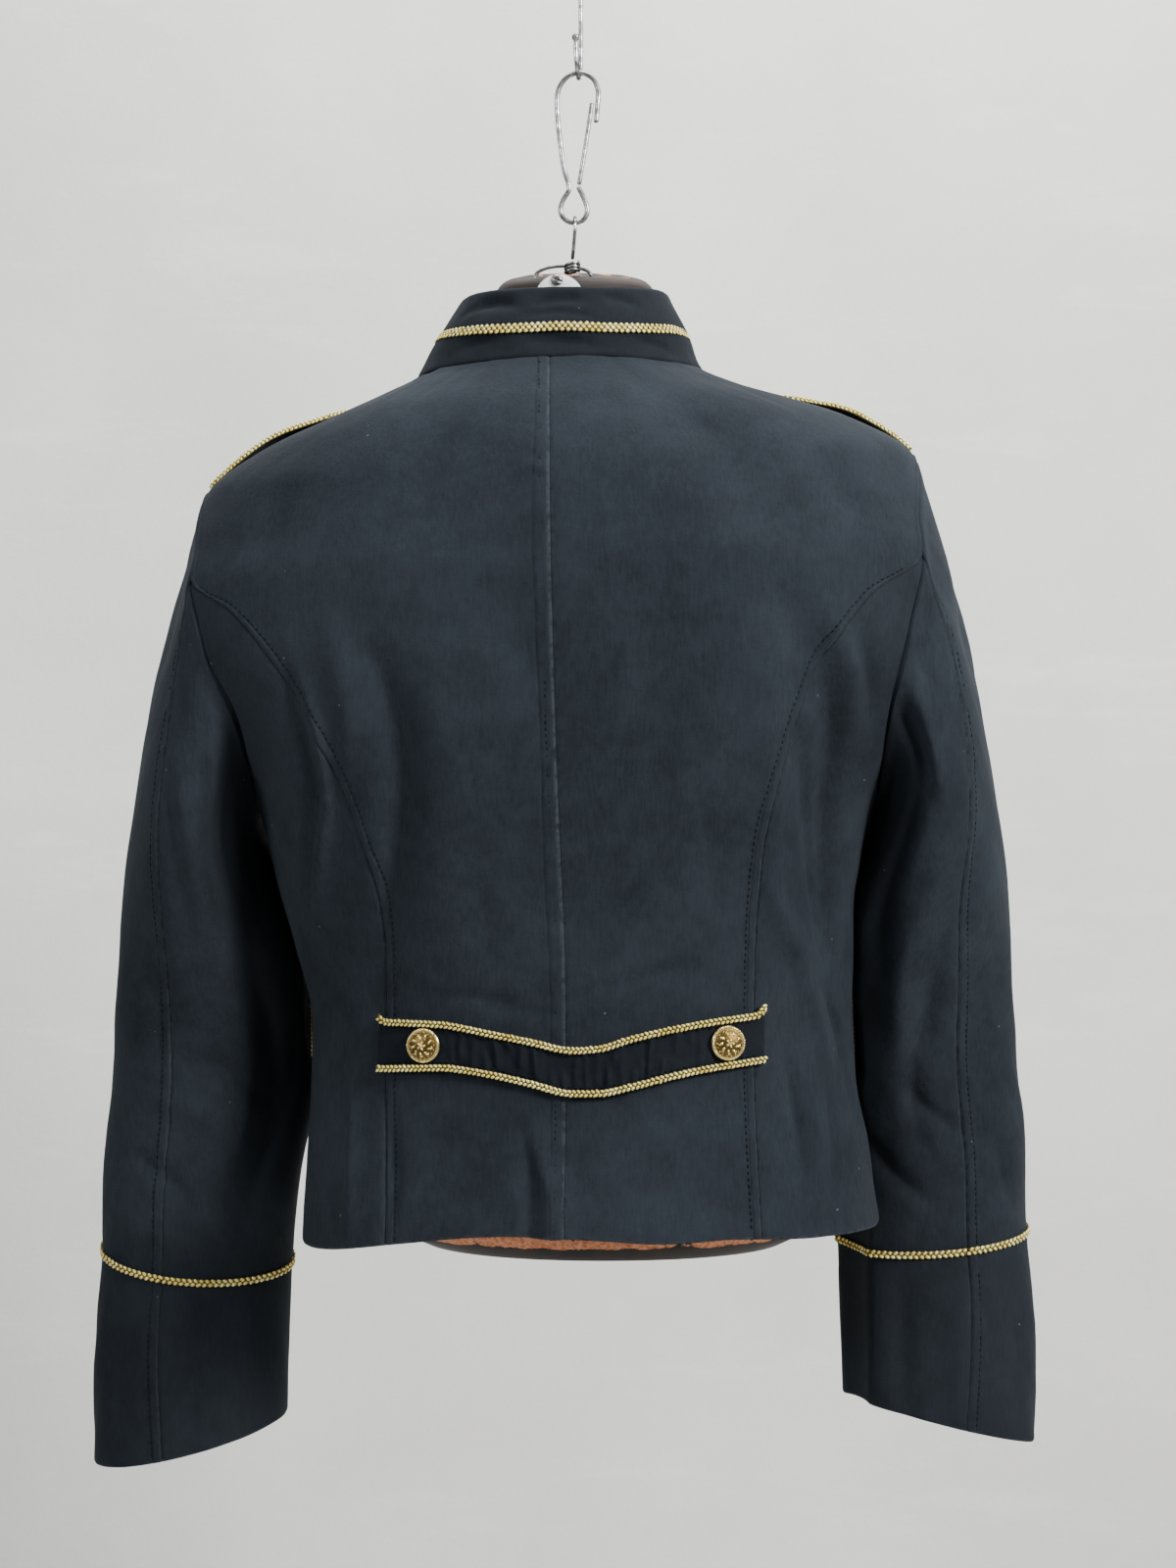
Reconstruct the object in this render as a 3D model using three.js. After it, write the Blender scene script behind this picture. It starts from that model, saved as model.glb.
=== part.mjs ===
// A cropped military jacket on a limbless dress form that hangs from a hook.
// Millimetres, +Z up, origin at the top of the hook's shank, -Y is the jacket's back.
// A "level" is how far below the origin a line round the jacket lies at the centre back.
import * as THREE from 'three';

const CLOTH = 1.6;
const SEAM_GAP = 0.3;
const TRIM_LIFT = 0.35;
const BRAID = { width: 6, thick: 1.3, tabWidth: 4.6 };
const HEM_LEVEL = 786;
const COLLAR_BRAID_LEVEL = 244;
const RAD = Math.PI / 180;

// Lines round the collar and the body: half width, depth behind and in front of the arms' line,
// superellipse power, sideways shift of the middle, and the height at the side and centre front.
const SECTIONS = [
  { level: 219, half: 62, back: 51, front: 50, power: 2.0, shift: -14, side: -223, fore: -286, tilt: 0 },
  { level: 241, half: 77, back: 57, front: 57, power: 2.0, shift: -16, side: -245, fore: -309, tilt: 1 },
  { level: 263, half: 89, back: 62, front: 64, power: 2.0, shift: -17, side: -266, fore: -332, tilt: 2 },
  { level: 275, half: 112, back: 74, front: 74, power: 2.0, shift: -17, side: -277, fore: -340, tilt: 3 },
  { level: 292, half: 147, back: 90, front: 86, power: 2.1, shift: -17, side: -290, fore: -351, tilt: 6 },
  { level: 312, half: 183, back: 101, front: 98, power: 2.1, shift: -17, side: -304, fore: -364, tilt: 9 },
  { level: 335, half: 218, back: 109, front: 108, power: 2.2, shift: -17, side: -328, fore: -380, tilt: 12 },
  { level: 363, half: 233, back: 114, front: 116, power: 2.3, shift: -18, side: -362, fore: -400, tilt: 11 },
  { level: 400, half: 248, back: 117, front: 124, power: 2.3, shift: -19, side: -400, fore: -425, tilt: 8 },
  { level: 432, half: 243, back: 117, front: 130, power: 2.3, shift: -19, side: -432, fore: -448, tilt: 5 },
  { level: 480, half: 217, back: 115, front: 134, power: 2.3, shift: -15, side: -480, fore: -486, tilt: 2 },
  { level: 505, half: 204, back: 112, front: 132, power: 2.3, shift: -14, side: -505, fore: -508, tilt: 1 },
  { level: 530, half: 191, back: 109, front: 128, power: 2.35, shift: -14, side: -530, fore: -531, tilt: 0 },
  { level: 580, half: 179, back: 103, front: 118, power: 2.4, shift: -13, side: -580, fore: -580, tilt: 0 },
  { level: 620, half: 172, back: 98, front: 108, power: 2.4, shift: -8.5, side: -621, fore: -620, tilt: 0 },
  { level: 660, half: 167, back: 95, front: 101, power: 2.4, shift: -3.5, side: -663, fore: -661, tilt: 1 },
  { level: 700, half: 168, back: 97, front: 101, power: 2.4, shift: -2.5, side: -705, fore: -703, tilt: 3 },
  { level: 740, half: 173, back: 101, front: 104, power: 2.4, shift: -0.5, side: -748, fore: -745, tilt: 5 },
  { level: 786, half: 178, back: 106, front: 109, power: 2.4, shift: 2, side: -797, fore: -792, tilt: 6.5 },
];

// Sideways places of the back's seams. The fronts repeat them.
const SEAMS = [
  { level: 263, middle: -23, left: -110, right: 66 },
  { level: 391, middle: -21.5, left: -238, right: 200 },
  { level: 410, middle: -21, left: -214, right: 170 },
  { level: 449, middle: -20, left: -183, right: 139 },
  { level: 500, middle: -18.5, left: -155, right: 117 },
  { level: 550, middle: -16.5, left: -136, right: 103.5 },
  { level: 585, middle: -15, left: -125.5, right: 100 },
  { level: 624, middle: -13.5, left: -120.8, right: 98.5 },
  { level: 690, middle: -13, left: -120, right: 98 },
  { level: 786, middle: -14, left: -119.5, right: 101.8 },
];

// The armhole: its middle level, half height, and how far it reaches round towards back and front.
const ARMHOLE = { level: 432, halfHeight: 97, reach: 32, steps: 11, seamStep: 4, foreSeamStep: 15 };

// Soft troughs and ridges of the worn cloth, in degrees round from the centre back and levels.
const FOLDS = [
  { from: -44, to: -40, top: 470, bottom: 690, width: 9, depth: -3.2 },
  { from: 40, to: 58, top: 440, bottom: 680, width: 8, depth: -3.4 },
  { from: 54, to: 72, top: 500, bottom: 700, width: 7, depth: -2.2 },
  { from: -70, to: -62, top: 500, bottom: 700, width: 7, depth: -2.6 },
  { from: -12, to: -6, top: 700, bottom: 830, width: 6, depth: 2.2 },
  { from: -24, to: -26, top: 715, bottom: 830, width: 7, depth: -1.8 },
  { from: 46, to: 49, top: 705, bottom: 830, width: 6, depth: -2.0 },
  { from: 130, to: 142, top: 470, bottom: 640, width: 9, depth: -2.4 },
  { from: -128, to: -141, top: 460, bottom: 650, width: 9, depth: -2.4 },
];

const PANEL_LEVELS = { shoulder: [263, 275, 292, 312], lower: [556, 584, 612, 636, 654, 671, 688, 706, 732, 759, 786] };

// Sleeve rings, outwards from the armhole. Places are from the jacket's own middle line.
const SLEEVE_MIDDLE = -15;
const SLEEVE_RINGS = [
  { out: 220, y: 4, z: -478, half: 64, deep: 68, roll: 65, pitch: 6, seam: 58, rows: 2 },
  { out: 228, y: 12, z: -530, half: 42, deep: 71, roll: 26, pitch: 8, seam: 63, rows: 2 },
  { out: 220.5, y: 26, z: -622, half: 62.5, deep: 51, roll: 7, pitch: 7, seam: 67, rows: 3 },
  { out: 224, y: 42, z: -700, half: 64, deep: 42, roll: 3, pitch: 9, seam: 70, rows: 2 },
  { out: 234, y: 52, z: -762, half: 62, deep: 38, roll: 4, pitch: 12, seam: 72, rows: 2 },
  { out: 238, y: 58, z: -818, half: 60, deep: 37, roll: 4, pitch: 14, seam: 73, rows: 2 },
];
const CUFF_RINGS = [
  { out: 240.5, y: 59, z: -852, half: 61, deep: 39, roll: -2, pitch: 9, seam: 74, rows: 1 },
  { out: 242, y: 59, z: -890, half: 62, deep: 41, roll: -8, pitch: 4, seam: 76, rows: 1 },
  { out: 242.5, y: 59, z: -936, half: 62.5, deep: 43, roll: -14, pitch: 0, seam: 79, rows: 1 },
];
const SLEEVE_SIDES = [
  { name: 'left', side: -1, drop: -6, pitch: 5 },
  { name: 'right', side: 1, drop: 6, pitch: -5 },
];
const BODY_CLEARANCE = 4.8;
const CLEAR_FROM = { level: 500, ramp: 24 };

// Waist flaps on the fronts, and the room that the sleeves leave them.
const FLAP = { from: 96, to: 140, top: 654, bottom: 688, thick: 1.6, lift: 0.7, columns: 10, room: 5.2, ramp: 30 };

// The dress form inside the jacket: how far its skin lies inside the cloth at each level.
const FORM_NECK = [
  { level: 202, half: 31, back: 8, front: 27, side: -202, fore: -202, power: 2, shift: -8, tilt: 0 },
  { level: 206, half: 44, back: 20, front: 38, side: -206, fore: -206, power: 2, shift: -8, tilt: 0 },
  { level: 214, half: 50, back: 44, front: 44, side: -214, fore: -214, power: 2, shift: -8, tilt: 0 },
  { level: 240, half: 52, back: 46, front: 46, side: -240, fore: -246, power: 2, shift: -10, tilt: 0 },
  { level: 262, half: 64, back: 51, front: 46, side: -262, fore: -316, power: 2, shift: -14, tilt: 1 },
];
const FORM_CROWN = { x: -8, z: -200.5 };
const FORM_LEVELS = [275, 285, 298, 312, 335, 363, 400, 440, 480, 520, 560, 600, 640, 680, 720, 750];
const FORM_SEAT = 0.7;
const FORM_INSET = 5;
const FORM_FRONT_SHARE = 2;
const FORM_SHOULDER_END = 318;
const FORM_ARM_HALF = 204;
const FORM_COLUMNS = 28;
const FORM_FOOT = [
  { level: 775, half: 150, back: 90, front: 92, side: -775, fore: -775, power: 2.3, shift: 8, tilt: 0 },
  { level: 794, half: 132, back: 86, front: 88, side: -794, fore: -794, power: 2.2, shift: 9, tilt: 0 },
  { level: 804, half: 112, back: 78, front: 80, side: -804, fore: -804, power: 2.1, shift: 10, tilt: 0 },
];
const FORM_BASE = { x: 10, z: -808 };

const COLOURS = {
  cloth: { color: 0x1b2630, roughness: 0.85, metalness: 0 },
  braid: { color: 0xc9b357, roughness: 0.45, metalness: 0.6 },
  gold: { color: 0xd8b04a, roughness: 0.25, metalness: 1 },
  form: { color: 0x3a241c, roughness: 0.6, metalness: 0 },
  steel: { color: 0xb9bbbd, roughness: 0.25, metalness: 1 },
  plate: { color: 0xe6e6e4, roughness: 0.4, metalness: 0.3 },
};

const group = new THREE.Group();

function addMesh(name, geometry, look) {
  const mesh = new THREE.Mesh(geometry, new THREE.MeshStandardMaterial(COLOURS[look]));
  mesh.name = name;
  group.add(mesh);
  return mesh;
}

// Reads one column of a table at a level, with a smooth curve that doesn't overshoot.
function read(table, level, key) {
  const last = table.length - 1;
  if (level <= table[0].level) return table[0][key];
  if (level >= table[last].level) return table[last][key];
  let i = 0;
  while (table[i + 1].level < level) i += 1;
  const slope = (k) => (table[k + 1][key] - table[k][key]) / (table[k + 1].level - table[k].level);
  const tangent = (k) => {
    if (k === 0) return slope(0);
    if (k === last) return slope(last - 1);
    const a = slope(k - 1);
    const b = slope(k);
    return a * b <= 0 ? 0 : (2 * a * b) / (a + b);
  };
  const span = table[i + 1].level - table[i].level;
  const t = (level - table[i].level) / span;
  const t2 = t * t;
  const t3 = t2 * t;
  return table[i][key] * (2 * t3 - 3 * t2 + 1) + table[i + 1][key] * (3 * t2 - 2 * t3)
    + span * (tangent(i) * (t3 - 2 * t2 + t) + tangent(i + 1) * (t3 - t2));
}

function ovalPoint(row, degrees) {
  const s = Math.sin(degrees * RAD);
  const c = Math.cos(degrees * RAD);
  const reach = 2 / row.power;
  const x = row.shift + row.half * Math.sign(s) * Math.abs(s) ** reach;
  const y = -(c > 0 ? row.back : row.front) * Math.sign(c) * Math.abs(c) ** reach;
  const middle = c > 0 ? -row.level : row.fore;
  const z = middle * c * c + row.side * s * s + row.tilt * s;
  return new THREE.Vector3(x, y, z);
}

function sectionRow(level) {
  const row = { level };
  for (const key of Object.keys(SECTIONS[0])) {
    if (key !== 'level') row[key] = read(SECTIONS, level, key);
  }
  return row;
}

function basePoint(degrees, level) {
  const beyond = Math.max(0, level - HEM_LEVEL);
  const point = ovalPoint(sectionRow(level), degrees);
  point.z -= beyond;
  return point;
}

function normalOf(surface, u, v, du, dv) {
  const across = surface(u + du, v).sub(surface(u - du, v));
  const down = surface(u, v + dv).sub(surface(u, v - dv));
  return down.cross(across).normalize();
}

function foldDepth(degrees, level) {
  let depth = 0;
  for (const fold of FOLDS) {
    const t = (level - fold.top) / (fold.bottom - fold.top);
    if (t <= 0 || t >= 1) continue;
    const middle = fold.from + (fold.to - fold.from) * t;
    const away = (degrees - middle) / fold.width;
    depth += fold.depth * Math.sin(Math.PI * t) * Math.exp(-away * away);
  }
  return depth;
}

// The cloth's inner face, and the same point moved out of it.
function clothPoint(degrees, level, out = 0) {
  const normal = normalOf(basePoint, degrees, level, 1, 1.5);
  return basePoint(degrees, level).addScaledVector(normal, foldDepth(degrees, level) + out);
}

// Degrees round to the point of a line whose sideways place is x, on the back or the front.
function angleAt(x, level, fore = false) {
  const row = sectionRow(level);
  const part = Math.min(1, Math.abs(x - row.shift) / row.half);
  const angle = Math.asin(part ** (row.power / 2)) / RAD * Math.sign(x - row.shift);
  return fore ? Math.sign(angle || 1) * 180 - angle : angle;
}

// A wall or pad between two grids of points, closed round its four edges.
function slab(inner, outer) {
  const rows = inner.length;
  const columns = inner[0].length;
  const positions = [];
  for (const grid of [inner, outer]) {
    for (const line of grid) for (const p of line) positions.push(p.x, p.y, p.z);
  }
  const at = (layer, i, j) => (layer * rows + i) * columns + j;
  const index = [];
  const quad = (a, b, c, d) => index.push(a, b, c, a, c, d);
  for (let i = 0; i + 1 < rows; i += 1) {
    for (let j = 0; j + 1 < columns; j += 1) {
      quad(at(1, i, j), at(1, i + 1, j), at(1, i + 1, j + 1), at(1, i, j + 1));
      quad(at(0, i, j), at(0, i, j + 1), at(0, i + 1, j + 1), at(0, i + 1, j));
    }
    quad(at(1, i, 0), at(0, i, 0), at(0, i + 1, 0), at(1, i + 1, 0));
    quad(at(0, i, columns - 1), at(1, i, columns - 1), at(1, i + 1, columns - 1), at(0, i + 1, columns - 1));
  }
  for (let j = 0; j + 1 < columns; j += 1) {
    quad(at(0, 0, j), at(1, 0, j), at(1, 0, j + 1), at(0, 0, j + 1));
    quad(at(1, rows - 1, j), at(0, rows - 1, j), at(0, rows - 1, j + 1), at(1, rows - 1, j + 1));
  }
  return closedGeometry(positions, index);
}

function closedGeometry(positions, index) {
  let volume = 0;
  const vertex = (k) => new THREE.Vector3().fromArray(positions, 3 * k);
  for (let k = 0; k < index.length; k += 3) {
    volume += vertex(index[k]).dot(vertex(index[k + 1]).cross(vertex(index[k + 2])));
  }
  if (volume < 0) {
    for (let k = 0; k < index.length; k += 3) [index[k + 1], index[k + 2]] = [index[k + 2], index[k + 1]];
  }
  const geometry = new THREE.BufferGeometry();
  geometry.setAttribute('position', new THREE.Float32BufferAttribute(positions, 3));
  geometry.setIndex(index);
  geometry.computeVertexNormals();
  return geometry;
}

// Armhole step k runs from the shoulder tip (0) to the underarm (ARMHOLE.steps).
function armholeStep(k) {
  const turn = Math.PI * k / ARMHOLE.steps;
  return {
    level: ARMHOLE.level - ARMHOLE.halfHeight * Math.cos(turn),
    degrees: 90 - ARMHOLE.reach * Math.sin(turn),
  };
}

const armholeLevels = [];
for (let k = 0; k <= ARMHOLE.steps; k += 1) armholeLevels.push(armholeStep(k).level);
const LEVELS = [...PANEL_LEVELS.shoulder, ...armholeLevels, ...PANEL_LEVELS.lower];
const SHOULDER_ROWS = PANEL_LEVELS.shoulder.length;
const PRINCESS_ROW = SHOULDER_ROWS + ARMHOLE.seamStep;
const UNDERARM_ROW = SHOULDER_ROWS + ARMHOLE.steps;

function edgeDegrees(row) {
  const k = row - SHOULDER_ROWS;
  return k < 0 || row > UNDERARM_ROW ? 90 : armholeStep(k).degrees;
}

const SEAM_POINT = 1.6;

function princessDegrees(row, side, fore) {
  if (row <= PRINCESS_ROW) {
    const edge = edgeDegrees(row) - (row === PRINCESS_ROW ? SEAM_POINT : 0);
    return fore ? 180 - edge : edge;
  }
  const level = LEVELS[row];
  const x = read(SEAMS, level, side < 0 ? 'left' : 'right');
  return Math.abs(angleAt(x, level, fore));
}

// Degrees that a distance along the cloth takes up.
function degreesFor(distance, degrees, level) {
  const step = basePoint(degrees + 0.5, level).distanceTo(basePoint(degrees - 0.5, level));
  return distance / step;
}

// One body panel between two seams, row by row, kept half a seam gap off each.
function panelRows(first, last, columns, from, to, lift = () => 0) {
  const inner = [];
  const outer = [];
  for (let row = first; row <= last; row += 1) {
    let level = LEVELS[row];
    if (row === 0) level += SEAM_GAP / 2;
    const start = from(row);
    const end = to(row);
    const sign = Math.sign(end - start);
    const a = start + sign * degreesFor(SEAM_GAP / 2, start, level);
    const b = end - sign * degreesFor(SEAM_GAP / 2, end, level);
    const lineIn = [];
    const lineOut = [];
    for (let j = 0; j <= columns; j += 1) {
      const degrees = a + (b - a) * j / columns;
      lineIn.push(clothPoint(degrees, level, lift(degrees)));
      lineOut.push(clothPoint(degrees, level, lift(degrees) + CLOTH));
    }
    inner.push(lineIn);
    outer.push(lineOut);
  }
  return slab(inner, outer);
}

const LAST_ROW = LEVELS.length - 1;
const middleDegrees = (row) => angleAt(read(SEAMS, LEVELS[row], 'middle'), LEVELS[row]);
const BUTTON_OVERLAP = { degrees: 6, lift: CLOTH + SEAM_GAP + 0.25, ramp: 14 };

// The right front laps over the left one at the buttons.
function frontLift(side, degrees) {
  if (side < 0) return 0;
  const start = 180 - BUTTON_OVERLAP.degrees - BUTTON_OVERLAP.ramp;
  return BUTTON_OVERLAP.lift * THREE.MathUtils.smoothstep((degrees - start) / BUTTON_OVERLAP.ramp, 0, 1);
}

function addPanels({ name, side }) {
  const backEdge = (row) => side * princessDegrees(row, side, false);
  const frontEdge = (row) => side * princessDegrees(row, side, true);
  const sideBackEdge = (row) => side * (row <= UNDERARM_ROW ? edgeDegrees(row) : 90);
  const sideFrontEdge = (row) => side * (row <= UNDERARM_ROW ? 180 - edgeDegrees(row) : 90);
  const closing = () => side * (180 + BUTTON_OVERLAP.degrees);
  const lift = (degrees) => frontLift(side, degrees);
  addMesh(`back_${name}`, panelRows(0, LAST_ROW, 7, middleDegrees, backEdge), 'cloth');
  addMesh(`side_back_${name}`, panelRows(PRINCESS_ROW, LAST_ROW, 4, backEdge, sideBackEdge), 'cloth');
  addMesh(`side_front_${name}`, panelRows(PRINCESS_ROW, LAST_ROW, 4, sideFrontEdge, frontEdge), 'cloth');
  addMesh(`front_${name}`, panelRows(0, LAST_ROW, 8, closing, frontEdge, lift), 'cloth');
}

// The stand collar carries the neck edge up, open at the centre front.
const COLLAR = { columns: 32, frontGap: 6, levels: [219, 229, 241, 252, 262.7] };

function addCollar() {
  const end = 180 - COLLAR.frontGap;
  const grid = (out) => COLLAR.levels.map((level) => {
    const line = [];
    for (let j = 0; j <= COLLAR.columns; j += 1) {
      line.push(clothPoint(-end + 2 * end * j / COLLAR.columns, level, out));
    }
    return line;
  });
  addMesh('collar', slab(grid(0), grid(CLOTH)), 'cloth');
}

// A flat braid along a path of degrees and levels, lying on the cloth's outer face.
function braidAlong(path, width, lift, thick) {
  const centres = path.map(({ degrees, level }) => clothPoint(degrees, level));
  const normals = path.map(({ degrees, level }) => normalOf(basePoint, degrees, level, 1, 1.5));
  return braidStrip(centres, normals, width, lift, thick);
}

function braidStrip(centres, normals, width, lift, thick) {
  const inner = [];
  const outer = [];
  centres.forEach((centre, k) => {
    const before = centres[Math.max(0, k - 1)];
    const after = centres[Math.min(centres.length - 1, k + 1)];
    const along = after.clone().sub(before).normalize();
    const across = normals[k].clone().cross(along).normalize().multiplyScalar(width / 2);
    const low = centre.clone().addScaledVector(normals[k], lift);
    const high = centre.clone().addScaledVector(normals[k], lift + thick);
    inner.push([low.clone().sub(across), low.clone().add(across)]);
    outer.push([high.clone().sub(across), high.clone().add(across)]);
  });
  return slab(inner, outer);
}

function addCollarBraid() {
  const end = 180 - COLLAR.frontGap;
  const path = [];
  for (let j = 0; j <= COLLAR.columns; j += 1) {
    path.push({ degrees: -end + 2 * end * j / COLLAR.columns, level: COLLAR_BRAID_LEVEL });
  }
  addMesh('collar_braid', braidAlong(path, BRAID.width, CLOTH + TRIM_LIFT, BRAID.thick), 'braid');
}

// Sleeve columns run from the shoulder tip over the back of the arm, the underarm and the front.
const COLUMNS = 2 * ARMHOLE.steps;

function ringPoint(ring, column, { side, drop, pitch }) {
  const turns = [
    { level: 0, turn: 0 },
    { level: ARMHOLE.seamStep, turn: ring.seam },
    { level: ARMHOLE.steps, turn: 180 },
    { level: ARMHOLE.foreSeamStep, turn: 240 },
    { level: COLUMNS, turn: 360 },
  ];
  const turn = read(turns, column, 'turn') * RAD;
  const roll = ring.roll * RAD;
  const lean = (ring.pitch + pitch) * RAD;
  const out = ring.half * Math.cos(turn);
  const back = ring.deep * Math.sin(turn);
  return new THREE.Vector3(
    SLEEVE_MIDDLE + side * (ring.out + out * Math.cos(roll)),
    ring.y - back * Math.cos(lean),
    ring.z + drop + out * Math.sin(roll) - back * Math.sin(lean),
  );
}

// Moves a sleeve point sideways until it is clear of the body's side.
function clearOfBody(point, side) {
  const level = -point.z;
  const row = sectionRow(level);
  const depth = point.y < 0 ? row.back : row.front;
  const part = Math.abs(point.y) / depth;
  if (part >= 1) return point;
  const { smoothstep } = THREE.MathUtils;
  const flap = smoothstep(level, FLAP.top - FLAP.ramp, FLAP.top) * (1 - smoothstep(level, FLAP.bottom, FLAP.bottom + FLAP.ramp));
  const room = BODY_CLEARANCE + FLAP.room * flap * smoothstep(point.y, -5, 12);
  const edge = row.half * (1 - part ** row.power) ** (1 / row.power) + room;
  const weight = THREE.MathUtils.smoothstep(level, CLEAR_FROM.level, CLEAR_FROM.level + CLEAR_FROM.ramp);
  const short = edge - side * (point.x - row.shift);
  if (short > 0) point.x += side * short * weight;
  return point;
}

function armholePoint(column, side) {
  const back = column <= ARMHOLE.steps;
  const { level, degrees } = armholeStep(back ? column : COLUMNS - column);
  const around = side * (back ? degrees : 180 - degrees);
  const normal = normalOf(basePoint, around, level, 1, 1.5);
  return { point: clothPoint(around, level), normal };
}

// Rows of points from the armhole to the cuff's rim, with the cloth's outward directions.
function sleeveGrid(sleeve) {
  const { side } = sleeve;
  const rings = [...SLEEVE_RINGS, ...CUFF_RINGS];
  const start = [];
  for (let j = 0; j < COLUMNS; j += 1) start.push(armholePoint(j, side));
  const curves = start.map(({ point }, j) => new THREE.CatmullRomCurve3(
    [point, ...rings.map((ring) => ringPoint(ring, j, sleeve))], false, 'centripetal'));
  const places = [0];
  let cuffRow = 0;
  rings.forEach((ring, k) => {
    for (let n = 1; n <= ring.rows; n += 1) places.push((k + n / ring.rows) / rings.length);
    if (k === SLEEVE_RINGS.length - 1) cuffRow = places.length - 1;
  });
  const points = places.map((place, i) => curves.map((curve) => {
    const point = curve.getPoint(place);
    return i === 0 ? point : clearOfBody(point, side);
  }));
  const normals = points.map((line, i) => line.map((point, j) => {
    if (i === 0) return start[j].normal;
    const up = points[i - 1][j];
    const down = points[Math.min(points.length - 1, i + 1)][j];
    const before = line[(j + COLUMNS - 1) % COLUMNS];
    const after = line[(j + 1) % COLUMNS];
    const normal = after.clone().sub(before).cross(down.clone().sub(up)).normalize();
    return side < 0 ? normal.negate() : normal;
  }));
  return { points, normals, cuffRow };
}

// One cloth piece of a sleeve or cuff, from row to row and from seam to seam.
function sleevePiece({ points, normals }, first, last, from, to) {
  const towards = (p, q, distance) => p.clone().addScaledVector(q.clone().sub(p).normalize(), distance);
  const wrap = (j) => (j + COLUMNS) % COLUMNS;
  const inner = [];
  const outer = [];
  for (let i = first; i <= last; i += 1) {
    const lineIn = [];
    const lineOut = [];
    for (let j = from; j <= to; j += 1) {
      let point = points[i][wrap(j)].clone();
      if (j === from) point = towards(point, points[i][wrap(j + 1)], SEAM_GAP / 2);
      if (j === to) point = towards(point, points[i][wrap(j - 1)], SEAM_GAP / 2);
      if (i === first) point = towards(point, points[i + 1][wrap(j)], first ? SEAM_GAP / 2 : 2 * SEAM_GAP);
      if (i === last && last < points.length - 1) point = towards(point, points[i - 1][wrap(j)], SEAM_GAP / 2);
      lineIn.push(point);
      lineOut.push(point.clone().addScaledVector(normals[i][wrap(j)], CLOTH));
    }
    inner.push(lineIn);
    outer.push(lineOut);
  }
  return slab(inner, outer);
}

function addSleeve(sleeve) {
  const { name } = sleeve;
  const grid = sleeveGrid(sleeve);
  const last = grid.points.length - 1;
  const top = [ARMHOLE.foreSeamStep - COLUMNS, ARMHOLE.seamStep];
  const under = [ARMHOLE.seamStep, ARMHOLE.foreSeamStep];
  addMesh(`sleeve_top_${name}`, sleevePiece(grid, 0, grid.cuffRow, ...top), 'cloth');
  addMesh(`sleeve_under_${name}`, sleevePiece(grid, 0, grid.cuffRow, ...under), 'cloth');
  addMesh(`cuff_top_${name}`, sleevePiece(grid, grid.cuffRow, last, ...top), 'cloth');
  addMesh(`cuff_under_${name}`, sleevePiece(grid, grid.cuffRow, last, ...under), 'cloth');
  const centres = [];
  const normals = [];
  for (let n = 0; n <= COLUMNS; n += 1) {
    const j = (ARMHOLE.seamStep + n) % COLUMNS;
    centres.push(grid.points[grid.cuffRow][j].clone());
    normals.push(grid.normals[grid.cuffRow][j]);
  }
  const shorten = (p, q) => p.addScaledVector(q.clone().sub(p).normalize(), SEAM_GAP);
  shorten(centres[0], centres[1]);
  shorten(centres[COLUMNS], centres[COLUMNS - 1]);
  const braid = braidStrip(centres, normals, BRAID.width, CLOTH + TRIM_LIFT, BRAID.thick);
  addMesh(`cuff_braid_${name}`, braid, 'braid');
}

// A solid through closed rings of points, ending in a point above and below.
function ringSolid(rings, top, bottom) {
  const count = rings[0].length;
  const positions = [];
  for (const ring of rings) for (const p of ring) positions.push(p.x, p.y, p.z);
  const topAt = rings.length * count;
  positions.push(top.x, top.y, top.z, bottom.x, bottom.y, bottom.z);
  const index = [];
  for (let j = 0; j < count; j += 1) {
    const next = (j + 1) % count;
    index.push(topAt, j, next);
    for (let i = 0; i + 1 < rings.length; i += 1) {
      index.push(i * count + j, (i + 1) * count + j, (i + 1) * count + next);
      index.push(i * count + j, (i + 1) * count + next, i * count + next);
    }
    index.push((rings.length - 1) * count + j, topAt + 1, (rings.length - 1) * count + next);
  }
  return closedGeometry(positions, index);
}

function formRing(pointAt) {
  const ring = [];
  for (let j = 0; j < FORM_COLUMNS; j += 1) ring.push(pointAt(-180 + 360 * j / FORM_COLUMNS));
  return ring;
}

// The form's shoulders carry the jacket at the shoulder seams. Elsewhere its skin lies deeper.
function formBodyPoint(degrees, level) {
  if (level <= FORM_SHOULDER_END) {
    const facing = Math.cos(degrees * RAD);
    const inset = FORM_INSET * (facing < 0 ? -FORM_FRONT_SHARE * facing : facing);
    return clothPoint(degrees, level, -FORM_SEAT - inset);
  }
  const row = sectionRow(level);
  row.half = Math.min(row.half - FORM_INSET, FORM_ARM_HALF);
  row.back -= FORM_INSET + 1;
  row.front -= FORM_INSET + 1;
  return ovalPoint(row, degrees);
}

function addForm() {
  const rings = FORM_NECK.map((row) => formRing((degrees) => ovalPoint(row, degrees)));
  for (const level of FORM_LEVELS) rings.push(formRing((degrees) => formBodyPoint(degrees, level)));
  for (const row of FORM_FOOT) rings.push(formRing((degrees) => ovalPoint(row, degrees)));
  const top = new THREE.Vector3(FORM_CROWN.x, 0, FORM_CROWN.z);
  const bottom = new THREE.Vector3(FORM_BASE.x, 0, FORM_BASE.z);
  addMesh('dress_form', ringSolid(rings, top, bottom), 'form');
}

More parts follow.
